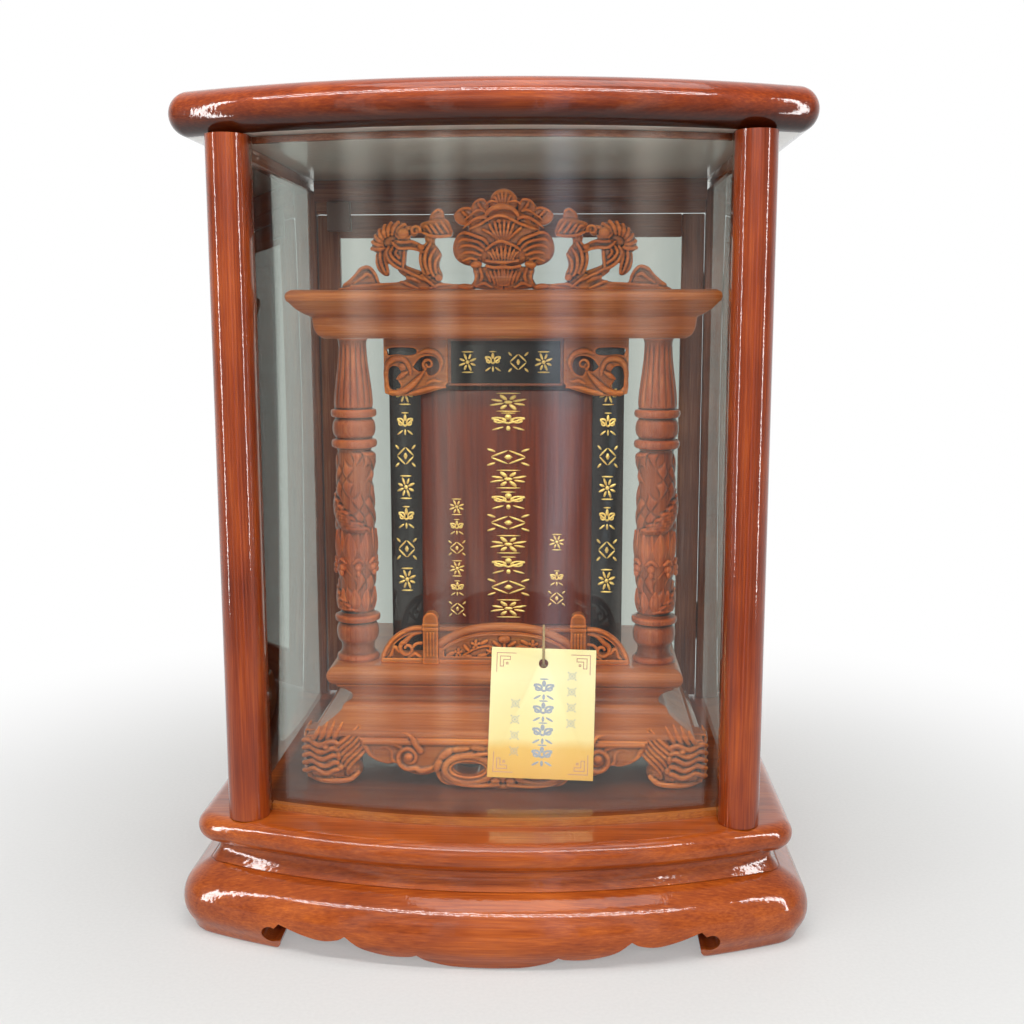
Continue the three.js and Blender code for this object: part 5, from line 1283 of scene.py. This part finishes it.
def make_gilding():
    """Gilt ornaments on the boards: columns of florets, clouds and lozenges in an even rhythm."""
    motifs = (floret(), cloud(), lozenge())
    x0, y0, z0 = SHRINE
    on_plaque, on_couplet, on_inscription = (y0 + face - GILDING
                                             for face in (PLAQUE_FACE, COUPLET_FACE, INSCRIPTION_FACE))
    jobs = [("plaque_gilding", 0.98, [(x0 - 34.5 + 23 * k, on_plaque, z0 + 380.5) for k in range(4)], "case",
             1.0, 1.0)]
    for side, stem in ((-1, "left"), (1, "right")):
        column = [(x0 + side * 93.5, on_couplet, z0 + 352 - 29.2 * k) for k in range(7)]
        jobs.append((f"couplet_gilding_{stem}", 1.0, column, "case", 1.0, 1.12))
    rises = [343, 324.5] + [292 - 20.6 * k for k in range(8)]
    centre = [(x0 + 1.5, on_inscription, z0 + rise) for rise in rises]
    jobs.append(("inscription_gilding", 1.0, centre, "inscription_board", 2.1, 0.88))
    sides = [(x0 - 47, on_inscription, z0 + 245 - 19.6 * k) for k in range(6)]
    sides += [(x0 + 47, on_inscription, z0 + z) for z in (212, 177, 158)]
    jobs.append(("dedication_gilding", 0.78, sides, "inscription_board", 1.1, 1.0))
    for name, size, places, body, by_x, by_z in jobs:
        for index, motif in enumerate(motifs):
            chosen = places[index::3]
            if chosen:
                scattered(f"{name}_{('floret', 'cloud', 'lozenge')[index]}", widened(motif, by_x, by_z),
                          chosen, gold, size,
                          body=body, sharp=60)


def make_brackets():
    """Scroll bracket: a pierced board with a comma eye, a crescent leaf and tendrils towards the plaque."""
    outline = [(52.3, TABLET_TOP), (52.3, 362), (57, 356.5), (66, 354), (74, 351.5), (82, 349.8),
               (104, 349.6), (110.5, 352), (111.3, 358), (111.3, TABLET_TOP)]
    eye = [(107.2, 360), (107.2, 372), (103, 377), (96.5, 374.5), (96, 368), (98.5, 364), (95.5, 358.5),
           (100, 355.2), (105, 356)]
    gap = [(107, 386.5), (107, 393), (84, 393), (82, 388), (90, 386.5), (99, 387.5)]
    hole = [(84.5, 376), (79, 383), (71, 386), (63, 384), (60.5, 376), (64, 370), (70, 368.5), (73, 373),
            (79, 372)]
    loops = [outline] + [[tuple(p) for p in spline(loop + loop[:1], 3)[:-1]] for loop in (eye, gap, hole)]
    shapes = [plate(loops, -30.8, -22.6, 1.2)]
    strands = [
        [(108.5, -29.5, 358, 1.8), (109.3, -30, 370, 2.4), (107, -30.5, 379, 2.6), (100, -31, 383.5, 2.8),
         (92, -31, 382, 2.4), (87.5, -30.5, 375, 2.0), (86.5, -30, 368, 1.3)],
        [(106, -30, 353, 1.8), (98, -30.6, 352.8, 2.6), (90, -31.2, 356, 3.0), (83, -31.2, 362, 2.8),
         (77, -30.6, 368.5, 1.7), (74, -30, 373, 0.8)],
        [(99.5, -30, 365, 1.0), (94.5, -31, 368.5, 2.4), (89.5, -30.6, 371.5, 1.2)],
        [(88, -30, 352, 1.6), (78, -30.6, 354, 2.2), (68, -30.6, 357, 2.0), (59, -30, 358, 1.3),
         (54.5, -29.6, 357.5, 0.8)],
        [(72, -30, 361, 1.4), (66, -30.5, 363.8, 1.8), (60, -30.2, 363, 1.4), (55.5, -29.6, 366, 0.9),
         (54.5, -29.4, 371, 0.7)],
        [(60, -30, 372, 1.2), (58, -30.4, 381, 1.8), (63, -30.6, 388.5, 2.2), (72, -30.6, 390.5, 2.2),
         (80, -30, 388, 1.4)],
    ]
    shapes += [limb(line, 0.9) for line in strands]
    shapes.append(limb(curl(70.5, 378.5, -30.2, 5.2, 1.6, -60, 1.2, 1.6, 0.9), 0.9))
    shapes.append(ball((94, -30.4, 376), (3.6, 2, 3.6)))
    pair("bracket", shapes, carved_lacquer, "lacquer_red_brown", voxel=0.65, **CARVED)


make_tablet()
make_gilding()
make_brackets()

# Roof and crown

ROOF_TOP = 444.5
CROWN_Y = -60.0
CROWN = (0.0, CROWN_Y, ROOF_TOP)


def make_roof():
    single("roof", [moulded(lambda g: square_outline(ROOF, g, 1.6), ROOF_SHARES, 402.2, 42, 28)], shrine_x,
           "lacquer_red_brown", shift=SHRINE)


def strand(points, depth=1.0, steps=6):
    """A limb placed by its points' way across, depth and height in the crown's own frame."""
    return limb([(x, CROWN_Y + y + 0.7, ROOF_TOP + z, 0.92 * radius) for x, y, z, radius in points], depth,
                steps)


def bead(x, y, z, radii, turn=0.0):
    return ball((x, CROWN_Y + y, ROOF_TOP + z), radii, turn)


def lotus_shapes():
    """The crown's lotus: a scalloped row of petals behind, an eyelid fold over wavy folds, two wide cupped
    petals, a fluted fan and a fluted pot."""
    shapes = [
        pad([(-31, 57), (-18, 66), (0, 71), (18, 66), (31, 57), (30, 40), (20, 24), (0, 20), (-20, 24),
             (-30, 40)], 8, -8.5, CROWN),
        pad([(-12.4, 72), (-11, 80), (-6, 85), (0, 86.6), (6, 85), (11, 80), (12.4, 72), (6, 66), (-6, 66)],
            5, -3.5, CROWN),
        strand([(-16, -9, 61, 1.2), (-13, -11.5, 66, 2.0), (-7, -13, 69.3, 2.7), (0, -13.4, 70.2, 3.0),
                (7, -13, 68.8, 2.6), (11.5, -11.5, 65, 1.9), (13.5, -9, 60.5, 1.2)]),
        strand([(-30, -6, 51.5, 0.8), (-20, -9, 55.6, 1.3), (-12, -11.5, 60, 1.5), (-4, -12.6, 62.8, 1.7),
                (4, -12.4, 61.2, 1.6), (12, -11, 57.2, 1.4), (21, -9, 53.8, 1.3), (31, -6, 50.6, 0.8)]),
        bead(-3.6, -10.8, 58.2, (2.2, 2.0, 1.6)),
        strand([(-15, -9.5, 34, 1.1), (-9.5, -11.5, 38.2, 1.5), (-2.5, -12.8, 41, 1.7),
                (3, -12.6, 39.8, 1.6), (11, -10.8, 36.6, 1.3), (14.5, -9.2, 33.5, 0.9)]),
        pad([(-15, 33), (-8, 37), (-1, 39), (8, 37), (14, 33), (12, 25), (-1, 22), (-13, 25)], -2, -9.5,
            CROWN),
        strand([(-15, -9, 24.6, 1.4), (-1, -10.4, 23.2, 1.6), (13, -9, 24.6, 1.4)]),
    ]
    for x in (-4.6, -1.2, 2.2, -8.4, 6.2):
        # Creases of the middle petal
        shapes.append(strand([(x * 0.5, -4.2, 72, 0.9), (x * 0.8, -4.8, 78, 1.2),
                              (x * 1.1, -3.2, 84.4 - 0.09 * x * x, 0.8)]))
    for x in (-13.4, -9.4, -5.6, -1.6, 2.2, 6.2, 9.8, 13.4):
        # Ribs of the fan under the lip, close together at its foot
        shapes.append(strand([(x * 0.62, -10.8, 25.6, 0.7), (x * 0.84, -12.0, 30.6, 1.1),
                              (x * 1.02, -11.6, 37.2 - 0.03 * x * x, 1.0)]))
    for x in (-17.5, -11.8, -7.4, -3.2, 1.0, 5.2, 9.6, 15.5):
        # Veins of the middle petal, spread upwards from the lip
        top = 59.0 - 0.026 * x * x
        shapes.append(strand([(x * 0.25, -9.6, 42.6, 0.9), (x * 0.66, -10.4, 48.0, 1.15),
                              (x, -9.6, top, 0.9)]))
    half = [
        pad([(12, 66), (13.5, 74), (18, 77.8), (24, 76.4), (28.6, 71), (27, 63), (18, 60)], 4.5, -4.5, CROWN),
        pad([(25, 62), (28, 69), (34, 70.6), (40, 68.2), (43.4, 63.4), (40, 57), (31, 55)], 4, -4, CROWN),
        strand([(13.5, -3, 72, 0.9), (17, -4.6, 76.6, 1.3), (23, -4.4, 75.6, 1.4), (28, -2.6, 70.5, 0.9)]),
        strand([(26, -3, 67, 0.9), (31, -4.4, 69.8, 1.3), (38, -4.0, 68, 1.4), (43, -2.2, 63.6, 0.9)]),
        strand([(17, -5.5, 67, 0.9), (20.5, -6.2, 71.5, 1.2), (22, -4.6, 75, 0.8)]),
        strand([(30, -5, 61.5, 0.9), (34, -5.4, 65, 1.2), (37, -3.8, 68, 0.8)]),
        # Short folds between the petals and the eyelid
        strand([(5, -9.0, 74.4, 1.0), (11, -9.4, 75, 1.3), (16, -8.4, 71.5, 1.0)]),
        strand([(16, -9, 66.6, 1.2), (22, -9, 67.4, 1.5), (28, -7.5, 63.5, 1.2), (33, -6, 60, 0.9)]),
        # Upper wavy fold
        strand([(12.5, -10, 60, 1.2), (18, -10.6, 61.6, 1.7), (25, -9.8, 59.6, 1.7), (31, -7.5, 55.6, 1.3),
                (35, -5, 52.6, 0.8)]),
        # Cupped side petal with its rolled edge and creases
        pad([(13, 40), (18, 44), (26, 46.5), (34, 49.5), (41, 46), (44.5, 36), (42, 27), (34, 21.5),
             (25, 21), (17, 26)], 6, -7, CROWN),
        strand([(13, -9.4, 38.5, 1.1), (17.5, -10.4, 43, 1.6), (25, -9.8, 46, 1.7), (33, -7.8, 48.6, 1.6),
                (38.5, -5.5, 47, 1.2), (42.5, -3.5, 41, 0.9)]),
        strand([(15, -8.6, 35, 1.0), (20, -9.2, 39.4, 1.3), (28, -8.8, 42.2, 1.3), (36, -7.6, 42.8, 1.2),
                (41, -5.6, 38, 0.9)]),
        strand([(18, -8.4, 33, 1.0), (24, -8.8, 36.2, 1.3), (31, -8.2, 37.8, 1.2), (37, -7.4, 36.4, 1.1),
                (42, -5, 31, 0.8)]),
        strand([(20, -8.2, 29.4, 1.0), (27, -8.2, 31.8, 1.2), (34, -7.6, 31.4, 1.1),
                (40.5, -5.4, 26.6, 0.8)]),
        strand([(23, -8.0, 25.4, 1.0), (29, -7.8, 26.8, 1.1), (36, -6.6, 24.2, 0.9)]),
        # Shoulder leaf and the outer flutes of the pot
        bead(23.6, -6.5, 21.4, (5.4, 4.2, 3.2), 8),
        pad([(4, 20), (18, 20), (27, 18.5), (25.6, 10), (28, 2), (10, 0), (0, 0), (0, 20)], 7, -7.5, CROWN),
        strand([(25.5, -5.5, 19, 1.6), (23.6, -7, 11, 1.7), (26.4, -5.5, 3, 1.3)]),
        strand([(20.5, -7.5, 18.4, 1.3), (18.6, -8.8, 11, 1.5), (21.4, -7, 3.4, 1.1)]),
        strand([(0, -9.6, 19.4, 1.7), (8, -10, 18.8, 1.7), (15, -8.8, 20.4, 1.5)]),
        bead(33, -3.5, 2.6, (7.4, 3.4, 2.8), -4),
        strand([(10, -8, 1.6, 1.2), (16.7, -9, 5.2, 1.5), (24, -7, 2.6, 1.1)]),
    ]
    for k, (top, foot) in enumerate(((0.9, 0.9), (4.2, 2.6), (7.8, 4.4), (11.4, 7.4), (14.4, 11.2))):
        # Flutes of the pot, spread upwards
        half.append(strand([(foot, -8.6, 3 + 0.5 * k * k * 0.5, 0.9),
                            ((top + foot) / 2, -9.8, 10 + 0.3 * k, 1.35), (top, -8.8, 16.6 - 0.5 * k, 1.0)]))
    return shapes + both(half)


def dragon_shapes():
    """Right-hand dragon: its head looks back at the lotus under a fan of mane, with a shell-like beard and a
    hanging lock; its body rises beside the lotus into a ribbed leaf."""
    shapes = [
        # Head: upper jaw, lip, nostril and eye
        pad([(69.2, 34.5), (71.5, 38.8), (75.5, 41.4), (82.7, 43.8), (89, 44), (95, 43), (98.5, 39.5),
             (95, 36.2), (88, 34.8), (82, 34.6), (76, 33.8), (71, 32.2)], 5, -6.5, CROWN),
        strand([(70.2, -5.5, 32.6, 1.3), (76.5, -7.4, 34.8, 1.5), (83, -8, 35.6, 1.5), (89.5, -8, 35.4, 1.5),
                (94, -7.4, 37.6, 1.4), (97, -6, 41, 1.0)]),
        strand([(72.5, -6, 38.6, 1.0), (79, -7.6, 41.2, 1.3), (86.5, -7.8, 40.6, 1.2),
                (92, -7.4, 41.4, 1.0)]),
        bead(72.2, -4.6, 36.4, (3.2, 3.6, 3.0)), bead(87.2, -5.6, 48.2, (5.0, 4.2, 4.8)),
        strand([(81.5, -4.5, 45.6, 1.2), (84, -6.5, 44.4, 1.5), (91, -6.8, 45, 1.5), (94, -5, 48, 1.2)]),
        # Beard: a shell of three ridges
        pad([(84.6, 35), (90, 37.4), (97, 38), (102.4, 34), (102.8, 29.6), (99.4, 23.8), (93, 18.8),
             (87.8, 17.2), (86, 22), (85.2, 28)], 4.5, -4.5, CROWN),
        strand([(100, -5, 37, 1.3), (102.2, -5.6, 31.5, 1.7), (99.6, -5.8, 24.8, 1.8), (94, -5.6, 19.8, 1.7),
                (88.4, -5, 17.6, 1.4)]),
        strand([(96.8, -6, 36.5, 1.1), (98.6, -6.8, 31.6, 1.4), (95.6, -6.8, 26.4, 1.5),
                (90, -6, 22.4, 1.2)]),
        strand([(92.6, -6, 35, 1.0), (94, -6.8, 31.4, 1.3), (91, -6.4, 27.4, 1.1)]),
        strand([(86.4, -5, 34.6, 1.2), (86.8, -6, 27.5, 1.5), (88, -5, 19, 1.2)]),
        # Hanging lock
        pad([(102.6, 36), (108.6, 37), (112, 29), (111.4, 19), (106.6, 13.4), (102.4, 12), (100.2, 14.4),
             (101.6, 21), (103, 28)], 4, -4, CROWN),
        strand([(103.6, -4.4, 35, 1.1), (103.4, -5.4, 27, 1.4), (101.6, -5, 19, 1.5),
                (101.4, -4.4, 14.2, 1.5)]),
        strand([(107.6, -4.6, 36, 1.1), (107.6, -5.6, 26, 1.5), (105, -5, 17.4, 1.3), (102.6, -4, 13, 1.2)]),
        strand([(111, -3, 31, 1.1), (110.8, -3.8, 22, 1.3), (107, -3, 15, 1.0)]),
        # Neck down to the mound, in two folds
        strand([(90, 0, 19, 4.6), (84, 0, 15.4, 5.4), (75, 0, 12, 5.6), (65, 0, 8, 5.6)]),
        strand([(88, -5, 18, 1.2), (81, -6, 14.2, 1.6), (72, -6, 10, 1.6), (63, -5.6, 6, 1.3)]),
        strand([(85, -4.4, 10.8, 1.4), (79, -5.6, 9.6, 2.2), (73, -5, 7, 1.6)]),
        # Body: a broad upright arch of four folds
        pad([(54, 30), (58, 37), (64, 41), (70, 38), (72.4, 30), (71.6, 20), (67, 11), (58, 8), (53.4, 12),
             (56.4, 21)], 5, -4.5, CROWN),
        strand([(67.5, -3.6, 40, 1.2), (71.6, -4.4, 33, 1.7), (72.2, -4.8, 24, 1.9), (69.4, -4.6, 15, 1.7),
                (65, -4, 10, 1.2)]),
        strand([(63.5, -5, 40, 1.2), (67.6, -6, 32, 1.6), (68.4, -6.2, 23, 1.7), (65.4, -6, 14, 1.5)]),
        strand([(59, -5.4, 36, 1.1), (63.6, -6.4, 28, 1.5), (64, -6.4, 19, 1.5), (61, -5.8, 11.6, 1.2)]),
        strand([(55, -4.6, 31, 1.1), (59.2, -5.6, 23.5, 1.5), (58.8, -5.4, 15, 1.3), (55.6, -4.4, 10, 1.0)]),
        bead(56.4, -5, 10.2, (3.4, 3.2, 3.0)),
        # Ribbed leaf above the body, reaching the lotus, with a small curl on its outer side
        strand([(64, 0, 39, 4.4), (64.5, 0, 46, 5.4)]),
        pad([(44, 50), (48.5, 60), (57, 61.6), (66, 59.6), (73, 56.6), (71.4, 49.4), (63, 45.2), (53, 44.8),
             (46, 45.6)], 4.5, -4, CROWN),
        strand([(46, -4, 46.6, 1.1), (54, -5.4, 45.4, 1.5), (62.6, -5.4, 46, 1.5), (70.4, -4.4, 49, 1.2)]),
        pad([(51, 58), (52.4, 68), (57.4, 70), (63.4, 65.6), (64, 58)], 3.5, -2.5, CROWN),
        strand([(52.6, -2.4, 66.5, 0.9), (57, -3.4, 68.6, 1.2), (62, -2.6, 65, 0.9)]),
        # Mound with its ridges, and the pearl on a bank at the outer end
        pad([(26, 0), (27, 4), (40, 5), (50, 4.6), (60, 9.6), (72, 13.4), (84, 9.6), (93, 7), (104, 5.4),
             (116, 5), (134, 4.4), (142.5, 2.4), (142.5, 0), (84, -0.4)], 6, -5, CROWN),
        strand([(72, -5.6, 12.6, 1.1), (66, -6.6, 7.5, 1.5), (59, -6.2, 2, 1.1)]),
        strand([(90, -5.2, 7.4, 1.1), (83, -6.6, 4.6, 1.5), (75, -6.2, 1, 1.1)]),
        strand([(46, -4.6, 4.6, 1.0), (56, -5.8, 4.4, 1.4), (64, -5.8, 1.4, 1.0)]),
        strand([(94, -4.6, 5.6, 1.2), (112, -5.2, 4.4, 1.5), (134, -4.4, 3.2, 1.2)]),
        pad([(108, 3), (111, 9), (113, 15), (117.4, 20), (123, 20.4), (128.4, 16.4), (133.4, 10.6),
             (141.6, 3)], 4.5, -4.5, CROWN),
        strand([(109.4, -4.2, 6, 1.2), (112.4, -5.4, 14, 1.5), (118, -5.8, 19.6, 1.7), (125, -5.6, 18, 1.7),
                (130.6, -4.6, 12, 1.4), (139, -3.6, 5.0, 1.1)]),
        strand([(116, -5.2, 12.4, 1.2), (120, -5.8, 13.4, 1.5), (124.4, -5.4, 10.4, 1.3),
                (131, -4.8, 6.0, 1.0)]),
    ]
    shapes.append(limb(curl(76.6, ROOF_TOP + 50.8, CROWN_Y - 4.6, 4.4, 1.4, 200, -1.2, 1.5, 0.9)))
    shapes.append(bead(78.5, -1, 50.6, (4.4, 4.0, 4.8)))
    for x, z in ((47.5, 49), (52.5, 48), (57.6, 47.8), (62.6, 48.4)):
        shapes.append(strand([(x, -4.6, z, 0.9), (x + 4, -5.6, z + 5.5, 1.35),
                              (x + 7, -3.8, z + 10.4 - 0.03 * (x - 50) ** 2, 0.9)]))
    # Mane: a fan of thick ribs side by side over a sheet
    tips = ((80.4, 53.6), (85.6, 56.2), (91.4, 58.2), (97.6, 57.6), (103.2, 55.4), (108.2, 51.8), (112, 47),
            (114.6, 41.4), (115.4, 35.6))
    sheet = [(79.4, 47), (83.4, 55.2), (91.4, 58.2), (101.6, 56.6), (111, 50.4), (115.4, 40), (113.4, 33),
             (104, 33), (95, 38)]
    shapes.append(pad(sheet, 4.5, -3.4, CROWN))
    for k, (x, z) in enumerate(tips):
        a = math.radians(128 - 21 * k)
        foot_x, foot_z = 96.5 + 9.4 * math.cos(a), 40.5 + 7.0 * math.sin(a)
        bend_x, bend_z = (foot_x + x) / 2 + 1.2 * math.sin(a), (foot_z + z) / 2 - 1.2 * math.cos(a)
        shapes.append(strand([(foot_x, -4.8, foot_z, 1.4), (bend_x, -6.0, bend_z, 2.1), (x, -3.6, z, 2.0)]))
    return shapes


def make_crown():
    piece("crown_carving", lotus_shapes() + both(dragon_shapes()), carved_lacquer, ("crown",),
          "lacquer_red_brown", voxel=0.8, **CARVED)


make_roof()
make_crown()

# Card label

def hung(shape):
    """Places a shape drawn flat, in X and Z from the middle of the card's top edge, its face at Y -1."""
    points, faces = shape
    sin, cos = math.sin(CARD_ROLL), math.cos(CARD_ROLL)
    rise = CARD_RISE - HOLE_DROP
    from_hole = [(x, y, z + HOLE_DROP) for x, y, z in points]
    rolled = [(x * cos + z * sin, y, -x * sin + z * cos + rise) for x, y, z in from_hole]
    sin, cos = math.sin(CARD_TILT), math.cos(CARD_TILT)
    left, front, foot = CARD_FOOT
    return [(left + x, front + y * cos + z * sin, foot - y * sin + z * cos) for x, y, z in rolled], faces


def bars(line, wide, y0=-1.14, y1=-0.96):
    """A printed line of square-ended strokes."""
    strokes = []
    for (x0, z0), (x1, z1) in zip(line[:-1], line[1:]):
        strokes.append(block(min(x0, x1) - wide / 2, max(x0, x1) + wide / 2, y0, y1, min(z0, z1) - wide / 2,
                             max(z0, z1) + wide / 2))
    return strokes


def make_label():
    card = [(-CARD_HALF, -CARD_LONG), (CARD_HALF, -CARD_LONG), (CARD_HALF, 0), (-CARD_HALF, 0)]
    hole = arc(0, -HOLE_DROP, HOLE_RADIUS, 0, TAU, 40)[:-1]
    single("label_card", [hung(plate([card, hole], -1.0, 0.0, 0.12))], card_stock, "label_card", "label",
           sharp=50)
    fret = [[(0, 0), (17, 0)], [(0, 0), (0, -17)], [(3, -3), (12, -3)], [(3, -3), (3, -12)],
            [(12, -3), (12, -6), (6, -6), (6, -9)], [(3, -12), (6, -12), (6, -9)],
            [(8.5, -8.5), (10, -8.5), (10, -10), (8.5, -10), (8.5, -8.5)]]
    frets = []
    for sx, sz, x, z in ((1, 1, -42, -5), (-1, 1, 42, -5), (1, -1, -42, -110.5), (-1, -1, 42, -110.5)):
        for line in fret:
            frets += bars([(x + sx * px, z + sz * pz) for px, pz in line], 0.75)
    piece("label_corner_frets", [hung(shape) for shape in frets], ink_pink, slot="label_card", body="label",
          weld=0.0)
    marks = []
    for k in range(4):
        # Outlined clouds down the middle, where the card is printed
        for shape in widened(cloud(), 1.25, 1.0):
            marks.append(([(x + 1.0, -1.02 + y * 0.08, z - 37 - 19.5 * k) for x, y, z in shape[0]], shape[1]))
    for x, top, count in ((-24, -50, 4), (26, -24, 4)):
        for k in range(count):
            for shape in widened(lozenge(), 0.42, 0.42):
                marks.append(([(px + x, -1.0 + y * 0.05, pz + top - 14 * k) for px, y, pz in shape[0]],
                              shape[1]))
    piece("label_printed_marks", [hung(shape) for shape in marks], ink_blue, slot="label_card", body="label",
          weld=0.0, sharp=60)


make_label()

# Floor, backdrop and studio light

# How bright the room in front of the studio is against the white of the paper
ROOM = 0.28
# Tall windows of that room: way round from straight ahead, half width, both in degrees, and light
WINDOWS = (
    (-44, 5, "#9a9a98"), (-29.4, 4.5, "#fffaf0"), (-21, 2, "#8a8a86"), (-12.5, 3.6, "#dfe2dc"),
    (-6, 2, "#7a7a78"),
    (10.4, 5, "#dfecff"), (18, 2, "#8c8e90"), (26.8, 5, "#f4ece2"), (37, 3, "#8f8f8c"), (46, 4, "#a5a5a2"),
)


def seen_rays(tree):
    """1 for the rays that show the background: those of the camera, of mirrors and through glass."""
    path = put(tree, "ShaderNodeLightPath").outputs
    seen = put(tree, "ShaderNodeMath", {0: path["Is Camera Ray"], 1: path["Is Glossy Ray"]},
               operation="MAXIMUM").outputs[0]
    return put(tree, "ShaderNodeMath", {0: seen, 1: path["Is Transmission Ray"]},
               operation="MAXIMUM").outputs[0]


def surroundings(tree, way, dim_at, white_at):
    """Colour of the background round the object: white, but mirrors show a dimmer room out in front, with
    tall windows that are soft at their edges."""
    across, ahead, _ = put(tree, "ShaderNodeSeparateXYZ", {0: way}).outputs
    front = put(tree, "ShaderNodeMath", {0: ahead, 1: -1.0}, operation="MULTIPLY").outputs[0]
    round_way = put(tree, "ShaderNodeMath", {0: across, 1: front}, operation="ARCTAN2").outputs[0]
    share = put(tree, "ShaderNodeMapRange", {0: round_way, 1: math.radians(-60),
                                             2: math.radians(60)}).outputs[0]
    stops = [(0.0, "#000000")]
    for middle, half, light in WINDOWS:
        stops += [((middle - half + 60) / 120, "#000000"), ((middle + 60) / 120, light)]
    stops += [((WINDOWS[-1][0] + WINDOWS[-1][1] + 60) / 120, "#000000")]
    windows = put(tree, "ShaderNodeValToRGB", {0: share}, stops=stops)
    windows.color_ramp.interpolation = "EASE"
    lit = put(tree, "ShaderNodeVectorMath", {0: windows.outputs[0], 1: (1.2, 1.2, 1.2),
                                             2: (ROOM, ROOM, ROOM)}, operation="MULTIPLY_ADD").outputs[0]
    open_share = put(tree, "ShaderNodeMapRange", {0: ahead, 1: dim_at, 2: white_at},
                     interpolation_type="SMOOTHSTEP").outputs[0]
    direct = put(tree, "ShaderNodeMath", {0: 1.0,
                                          1: put(tree, "ShaderNodeLightPath").outputs["Is Glossy Ray"]},
                                          operation="SUBTRACT").outputs[0]
    white = put(tree, "ShaderNodeMath", {0: open_share, 1: direct}, operation="MAXIMUM").outputs[0]
    return put(tree, "ShaderNodeMix", {0: white, 6: lit, 7: "#ffffff"}, data_type="RGBA").outputs[2]


def pale_floor():
    """Seamless paper: white at a distance, with the object's soft shadow on it nearby, where it glows white
    in part.
    Mirror and glass rays see it glow with a dimmer room and tall windows out in front: a painted reflection."""
    material, tree = new_material("seamless_paper")
    place = put(tree, "ShaderNodeTexCoord").outputs["Object"]
    tooth = put(tree, "ShaderNodeTexNoise", {"Vector": place, "Scale": 300.0}).outputs[0]
    colour = put(tree, "ShaderNodeValToRGB", {0: tooth},
                 stops=[(0.3, "#c9c8c5"), (0.7, "#cfcecb")]).outputs[0]
    paper = put(tree, "ShaderNodeBsdfPrincipled", {"Base Color": colour, "Roughness": 0.9}).outputs[0]
    # For camera rays the paper glows white; for mirror and glass rays it glows with the dim room and windows,
    # a painted reflection, since the paper is no lamp
    glow = put(tree, "ShaderNodeEmission", {"Color": surroundings(tree, place, -1.2, -0.2),
                                            "Strength": 1.0}).outputs[0]
    distance = put(tree, "ShaderNodeVectorMath", {0: place}, operation="LENGTH").outputs["Value"]
    # Near the object the glow is kept at three tenths, which lightens its shadow
    far = put(tree, "ShaderNodeMapRange", {0: distance, 1: 0.3, 2: 0.95, 3: 0.3, 4: 1.0},
              interpolation_type="SMOOTHSTEP").outputs[0]
    share = put(tree, "ShaderNodeMath", {0: seen_rays(tree), 1: far}, operation="MULTIPLY").outputs[0]
    finish_material(tree, put(tree, "ShaderNodeMixShader", {0: share, 1: paper, 2: glow}).outputs[0])
    return material


def make_studio():
    floor = bpy.data.meshes.new("floor")
    ring = [(6 * math.cos(a), 6 * math.sin(a), 0) for a in np.linspace(0, TAU, 64, endpoint=False)]
    floor.from_pydata(ring, [], [tuple(range(64))])
    floor.materials.append(pale_floor())
    stage = bpy.data.objects.new("floor", floor)
    bpy.context.scene.collection.objects.link(stage)

    world = bpy.data.worlds.new("studio")
    bpy.context.scene.world = world
    world.use_nodes = True
    tree = world.node_tree
    tree.nodes.clear()
    way = put(tree, "ShaderNodeTexCoord").outputs["Object"]
    soft = put(tree, "ShaderNodeBackground", {"Color": "#f4f6f8", "Strength": 0.24}).outputs[0]
    backdrop = put(tree, "ShaderNodeBackground",
                   {"Color": surroundings(tree, way, -0.25, 0.5), "Strength": 1.0}).outputs[0]
    mixed = put(tree, "ShaderNodeMixShader", {0: seen_rays(tree), 1: soft, 2: backdrop}).outputs[0]
    put(tree, "ShaderNodeOutputWorld", {"Surface": mixed})

    # Long low boxes give each nose and edge its thin gleam; upright strips give posts and glass theirs
    lamps = (
        ("key_fill", (-0.1, -1.1, 1.75), (0, 0, 0.3), 2.4, 0.13, 25),
        ("high_gleam", (-0.1, -1.1, 1.75), (0, 0, 0.3), 2.6, 0.26, 52),
        ("front_fill", (0.0, -1.9, 1.03), (0, 0, 0.42), 1.6, 0.18, 15),
        ("front_gleam", (0.0, -1.9, 1.03), (0, 0, 0.42), 1.6, 0.14, 24),
        ("top_box", (0.1, -0.3, 1.9), (0, 0, 0.4), 1.2, 0.8, 9),
        ("left_gleam", (-1.35, -0.8, 0.5), (0, -0.16, 0.4), 0.09, 1.9, 14),
        ("right_gleam", (1.35, -0.8, 0.5), (0, -0.16, 0.4), 0.09, 1.9, 14),
        ("left_fill", (-2.0, -1.45, 0.6), (0, 0, 0.5), 0.4, 0.9, 5),
        ("right_fill", (2.0, -1.45, 0.6), (0, 0, 0.5), 0.4, 0.9, 5),
        ("low_rear_fill", (0.0, 0.9, 0.12), (0.0, 0.1, 0.66), 0.6, 0.3, 7),
        ("rear_fill", (0.5, 1.4, 1.2), (0, 0, 0.4), 1.0, 0.8, 5),
    )
    for name, place, aim, wide, tall, power in lamps:
        lamp = bpy.data.lights.new(name, "AREA")
        lamp.shape, lamp.size, lamp.size_y, lamp.energy = "RECTANGLE", wide, tall, power
        stand = bpy.data.objects.new(name, lamp)
        bpy.context.scene.collection.objects.link(stand)
        toward = Vector(aim) - Vector(place)
        stand.matrix_world = Matrix.Translation(place) @ toward.to_track_quat("-Z", "Y").to_matrix().to_4x4()
        # Fill light comes from all round, so glass and lacquer show no image of it; gleams are that image
        stand.visible_camera = stand.visible_transmission = False
        stand.visible_glossy = not name.endswith("_fill")
        stand.visible_diffuse = not name.endswith("_gleam")
    bpy.context.scene.view_settings.view_transform = "Standard"


make_studio()
